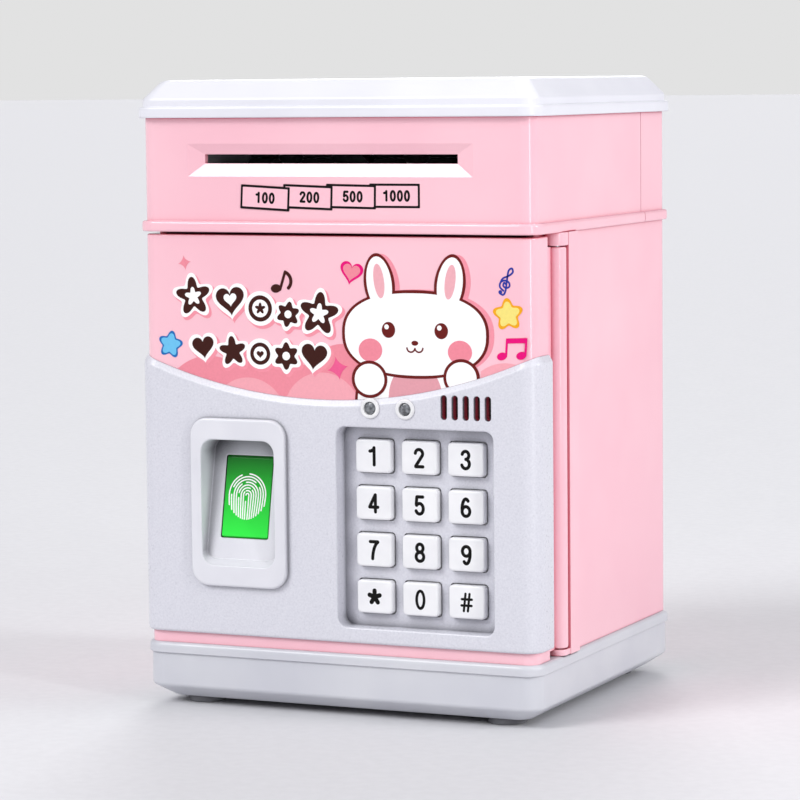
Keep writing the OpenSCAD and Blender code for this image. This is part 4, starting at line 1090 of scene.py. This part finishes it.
on_door("signs_pips", [star(-24.6, 124.2, 1.8, 90), heart(-24.8, 110.3, 2.4)], 7, brown_ink)


def quaver(x, z, size, degrees):
    """Single note: an oval head, a straight stem and a curved flag, for a height of one."""
    parts = [oval(-0.24, -0.36, 0.25, 0.19, 25), stroke(np.linspace([-0.03, -0.34], [-0.03, 0.5], 6), 0.12),
             stroke(arc(-0.03, 0.06, 0.42, 88, -28), 0.15)]
    return [turn_outline(p, x, z, degrees, size) for p in parts]


def beamed(x, z, size, degrees):
    """Two notes under one beam, for a height of one."""
    parts = [oval(-0.52, -0.38, 0.25, 0.18, 20), oval(0.45, -0.26, 0.25, 0.18, 20),
             stroke(np.linspace([-0.31, -0.36], [-0.31, 0.4], 6), 0.1),
             stroke(np.linspace([0.66, -0.24], [0.66, 0.52], 6), 0.1),
             np.array([(-0.36, 0.24), (0.71, 0.36), (0.71, 0.6), (-0.36, 0.48)])]
    return [turn_outline(p, x, z, degrees, size) for p in parts]


magenta_ink = ink("magenta", "#e9087a")
on_door("brown_note", quaver(-16.9, 132.2, 6.8, -18), 5, brown_ink)
on_door("magenta_notes", beamed(58.2, 113.7, 6.3, -4), 5, magenta_ink)
on_door("magenta_heart", [heart(6.1, 135.8, 7.6, -12)], 4, magenta_ink)
on_door("pink_heart", [heart(6.1, 135.8, 5.7, -12)], 5, cheek_ink)
on_door("pink_glints", [sparkle(-50.4, 137.8, 2.2, 10)], 4, rose_ink)
on_door("magenta_glint", [sparkle(1.2, 106.6, 3.6, 12)], 5, ink("bright_rose", "#ee5f92"))
on_door("blue_star_line", [star(-55.7, 112.5, 4.3, 80, 5, 0.17)], 4, ink("deep_blue", "#1f6fb8"))
on_door("blue_star", [star(-55.7, 112.5, 3.5, 80, 5, 0.17)], 5, ink("sky_blue", "#6fc3ee"))
on_door("yellow_star_line", [star(56.8, 123.9, 4.9, 95, 5, 0.17)], 4, ink("amber", "#f2a91c"))
on_door("yellow_star", [star(56.8, 123.9, 3.9, 95, 5, 0.17)], 5, ink("yellow", "#f5e27d"))
navy_ink = ink("navy", "#2b3a9e")


def flowing(points, steps=8):
    """Smooth path through points p0..pn: on each span, half of (2 p1 + (p2 - p0) t
    + (2 p0 - 5 p1 + 4 p2 - p3) t^2 + (3 p1 - p0 - 3 p2 + p3) t^3)."""
    p = np.asarray(points, float)
    p = np.concatenate([2 * p[:1] - p[1:2], p, 2 * p[-1:] - p[-2:-1]])
    a, b, c, d = (p[k:len(p) - 3 + k, None, :] for k in range(4))
    t = np.linspace(0, 1, steps, endpoint=False)[None, :, None]
    path = 0.5 * (2 * b + (c - a) * t + (2 * a - 5 * b + 4 * c - d) * t ** 2
                  + (3 * b - a - 3 * c + d) * t ** 3)
    return np.concatenate([path.reshape(-1, 2), p[-2:-1]])


coil = stroke(flowing([(0.3, -0.9), (-0.5, -0.6), (-0.5, -1.5), (0.5, -1.8), (1.3, -1.0), (0.7, 0.0),
                       (-0.7, 0.0), (-1.6, -1.0), (-1.3, -2.2), (0.0, -2.8)]), 0.5)
swan = stroke(flowing([(-1.6, -1.1), (-1.3, 0.4), (0.2, 1.8), (0.9, 3.1), (0.3, 4.0), (-0.4, 3.0), (0.0, 0.5),
                       (0.6, -2.6), (0.3, -3.9), (-0.7, -3.9)]), 0.5)
curl = [turn_outline(o, 56.4, 133.7, -20, 1.05) for o in (coil, swan, oval(-0.75, -3.5, 0.55, 0.55))]
on_door("navy_curl", curl, 4, navy_ink)

# ---------- Camera ----------
# A long lens stands to the right of the front and a little above the bank's middle.

azimuth, elevation, roll = (math.radians(v) for v in (24.297, 5.547, -0.590))
back = Vector((math.sin(azimuth) * math.cos(elevation), -math.cos(azimuth) * math.cos(elevation),
               math.sin(elevation)))
right = Vector((math.cos(azimuth), math.sin(azimuth), 0))
above = right.cross(-back)
across = math.cos(roll) * right + math.sin(roll) * above
upward = -math.sin(roll) * right + math.cos(roll) * above
lens = bpy.data.cameras.new("long_lens")
lens.lens, lens.sensor_width = 149.058, 36
lens.clip_start, lens.clip_end = 0.05, 60
camera = bpy.data.objects.new("camera", lens)
stand = Matrix((across, upward, back)).transposed().to_4x4()
stand.translation = Vector((427.4, -955.55, 193.4)) * MM
camera.matrix_world = stand
bpy.context.scene.collection.objects.link(camera)
bpy.context.scene.camera = camera

# ---------- Floor and light ----------
# A plain pale floor in a bright room. Three soft suns stand high on the left, low on the right and
# behind, and a tall narrow strip light draws a bright line along the rounded upright edges.

# Matt paper sweep: a pale, even ground without reflections.
pale_floor = surface("matt_white_paper", shaded("#d2d2d5", "#d5d5d8", 4), patchy(0.8, 0.9, 20))
floor_mesh = bpy.data.meshes.new("floor")
half = 30.0
floor_corners = [(-half, -half, 0), (half, -half, 0), (half, half, 0), (-half, half, 0)]
floor_mesh.from_pydata(floor_corners, [], [(0, 1, 2, 3)])
floor_mesh.materials.append(pale_floor)
floor_piece = bpy.data.objects.new("floor", floor_mesh)
bpy.context.scene.collection.objects.link(floor_piece)

# The room is white at eye level, greyer on its walls, and nearly white again overhead.
world = bpy.data.worlds.new("bright_room")
world.use_nodes = True
bpy.context.scene.world = world
tree = world.node_tree
tree.nodes.clear()
direction = add(tree, "TexCoord").outputs["Generated"]
height = add(tree, "SeparateXYZ", {"Vector": direction}).outputs["Z"]
room = add(tree, "ValToRGB", {"Fac": height}, [
    (0.0, linear("#ffffff")), (0.04, linear("#ffffff")), (0.12, linear("#aeaeb2")),
    (0.45, linear("#aeaeb2")), (0.8, linear("#f4f4f8"))]).outputs[0]
glow = add(tree, "Background", {"Color": room, "Strength": 0.76})
add(tree, "OutputWorld", {"Surface": glow.outputs[0]})


def towards(side, height):
    """Direction of a lamp, from its angle round the bank and its angle of height, in degrees."""
    side, height = math.radians(side), math.radians(height)
    return Vector((math.sin(side) * math.cos(height), -math.cos(side) * math.cos(height), math.sin(height)))


for name, side, height, power, spread in (("key_light", -32, 38, 1.62, 26), ("right_light", 98, 22, 0.95, 16),
                                          ("rear_light", 200, 30, 1.0, 24)):
    lamp = bpy.data.lights.new(name, "SUN")
    lamp.energy, lamp.angle = power, math.radians(spread)
    holder = bpy.data.objects.new(name, lamp)
    holder.rotation_euler = (-towards(side, height)).to_track_quat("-Z", "Y").to_euler()
    bpy.context.scene.collection.objects.link(holder)
strip_side, strip_away, strip_z = 62, 0.75, 0.5
strip = bpy.data.lights.new("strip_light", "AREA")
strip.shape, strip.size, strip.size_y, strip.energy = "RECTANGLE", 0.07, 1.0, 2.0
holder = bpy.data.objects.new("strip_light", strip)
holder.location = strip_away * towards(strip_side, 0) + Vector((0, 0, strip_z))
holder.rotation_euler = (math.pi / 2, 0, math.radians(strip_side))
bpy.context.scene.collection.objects.link(holder)
bpy.context.scene.view_settings.view_transform = "Standard"
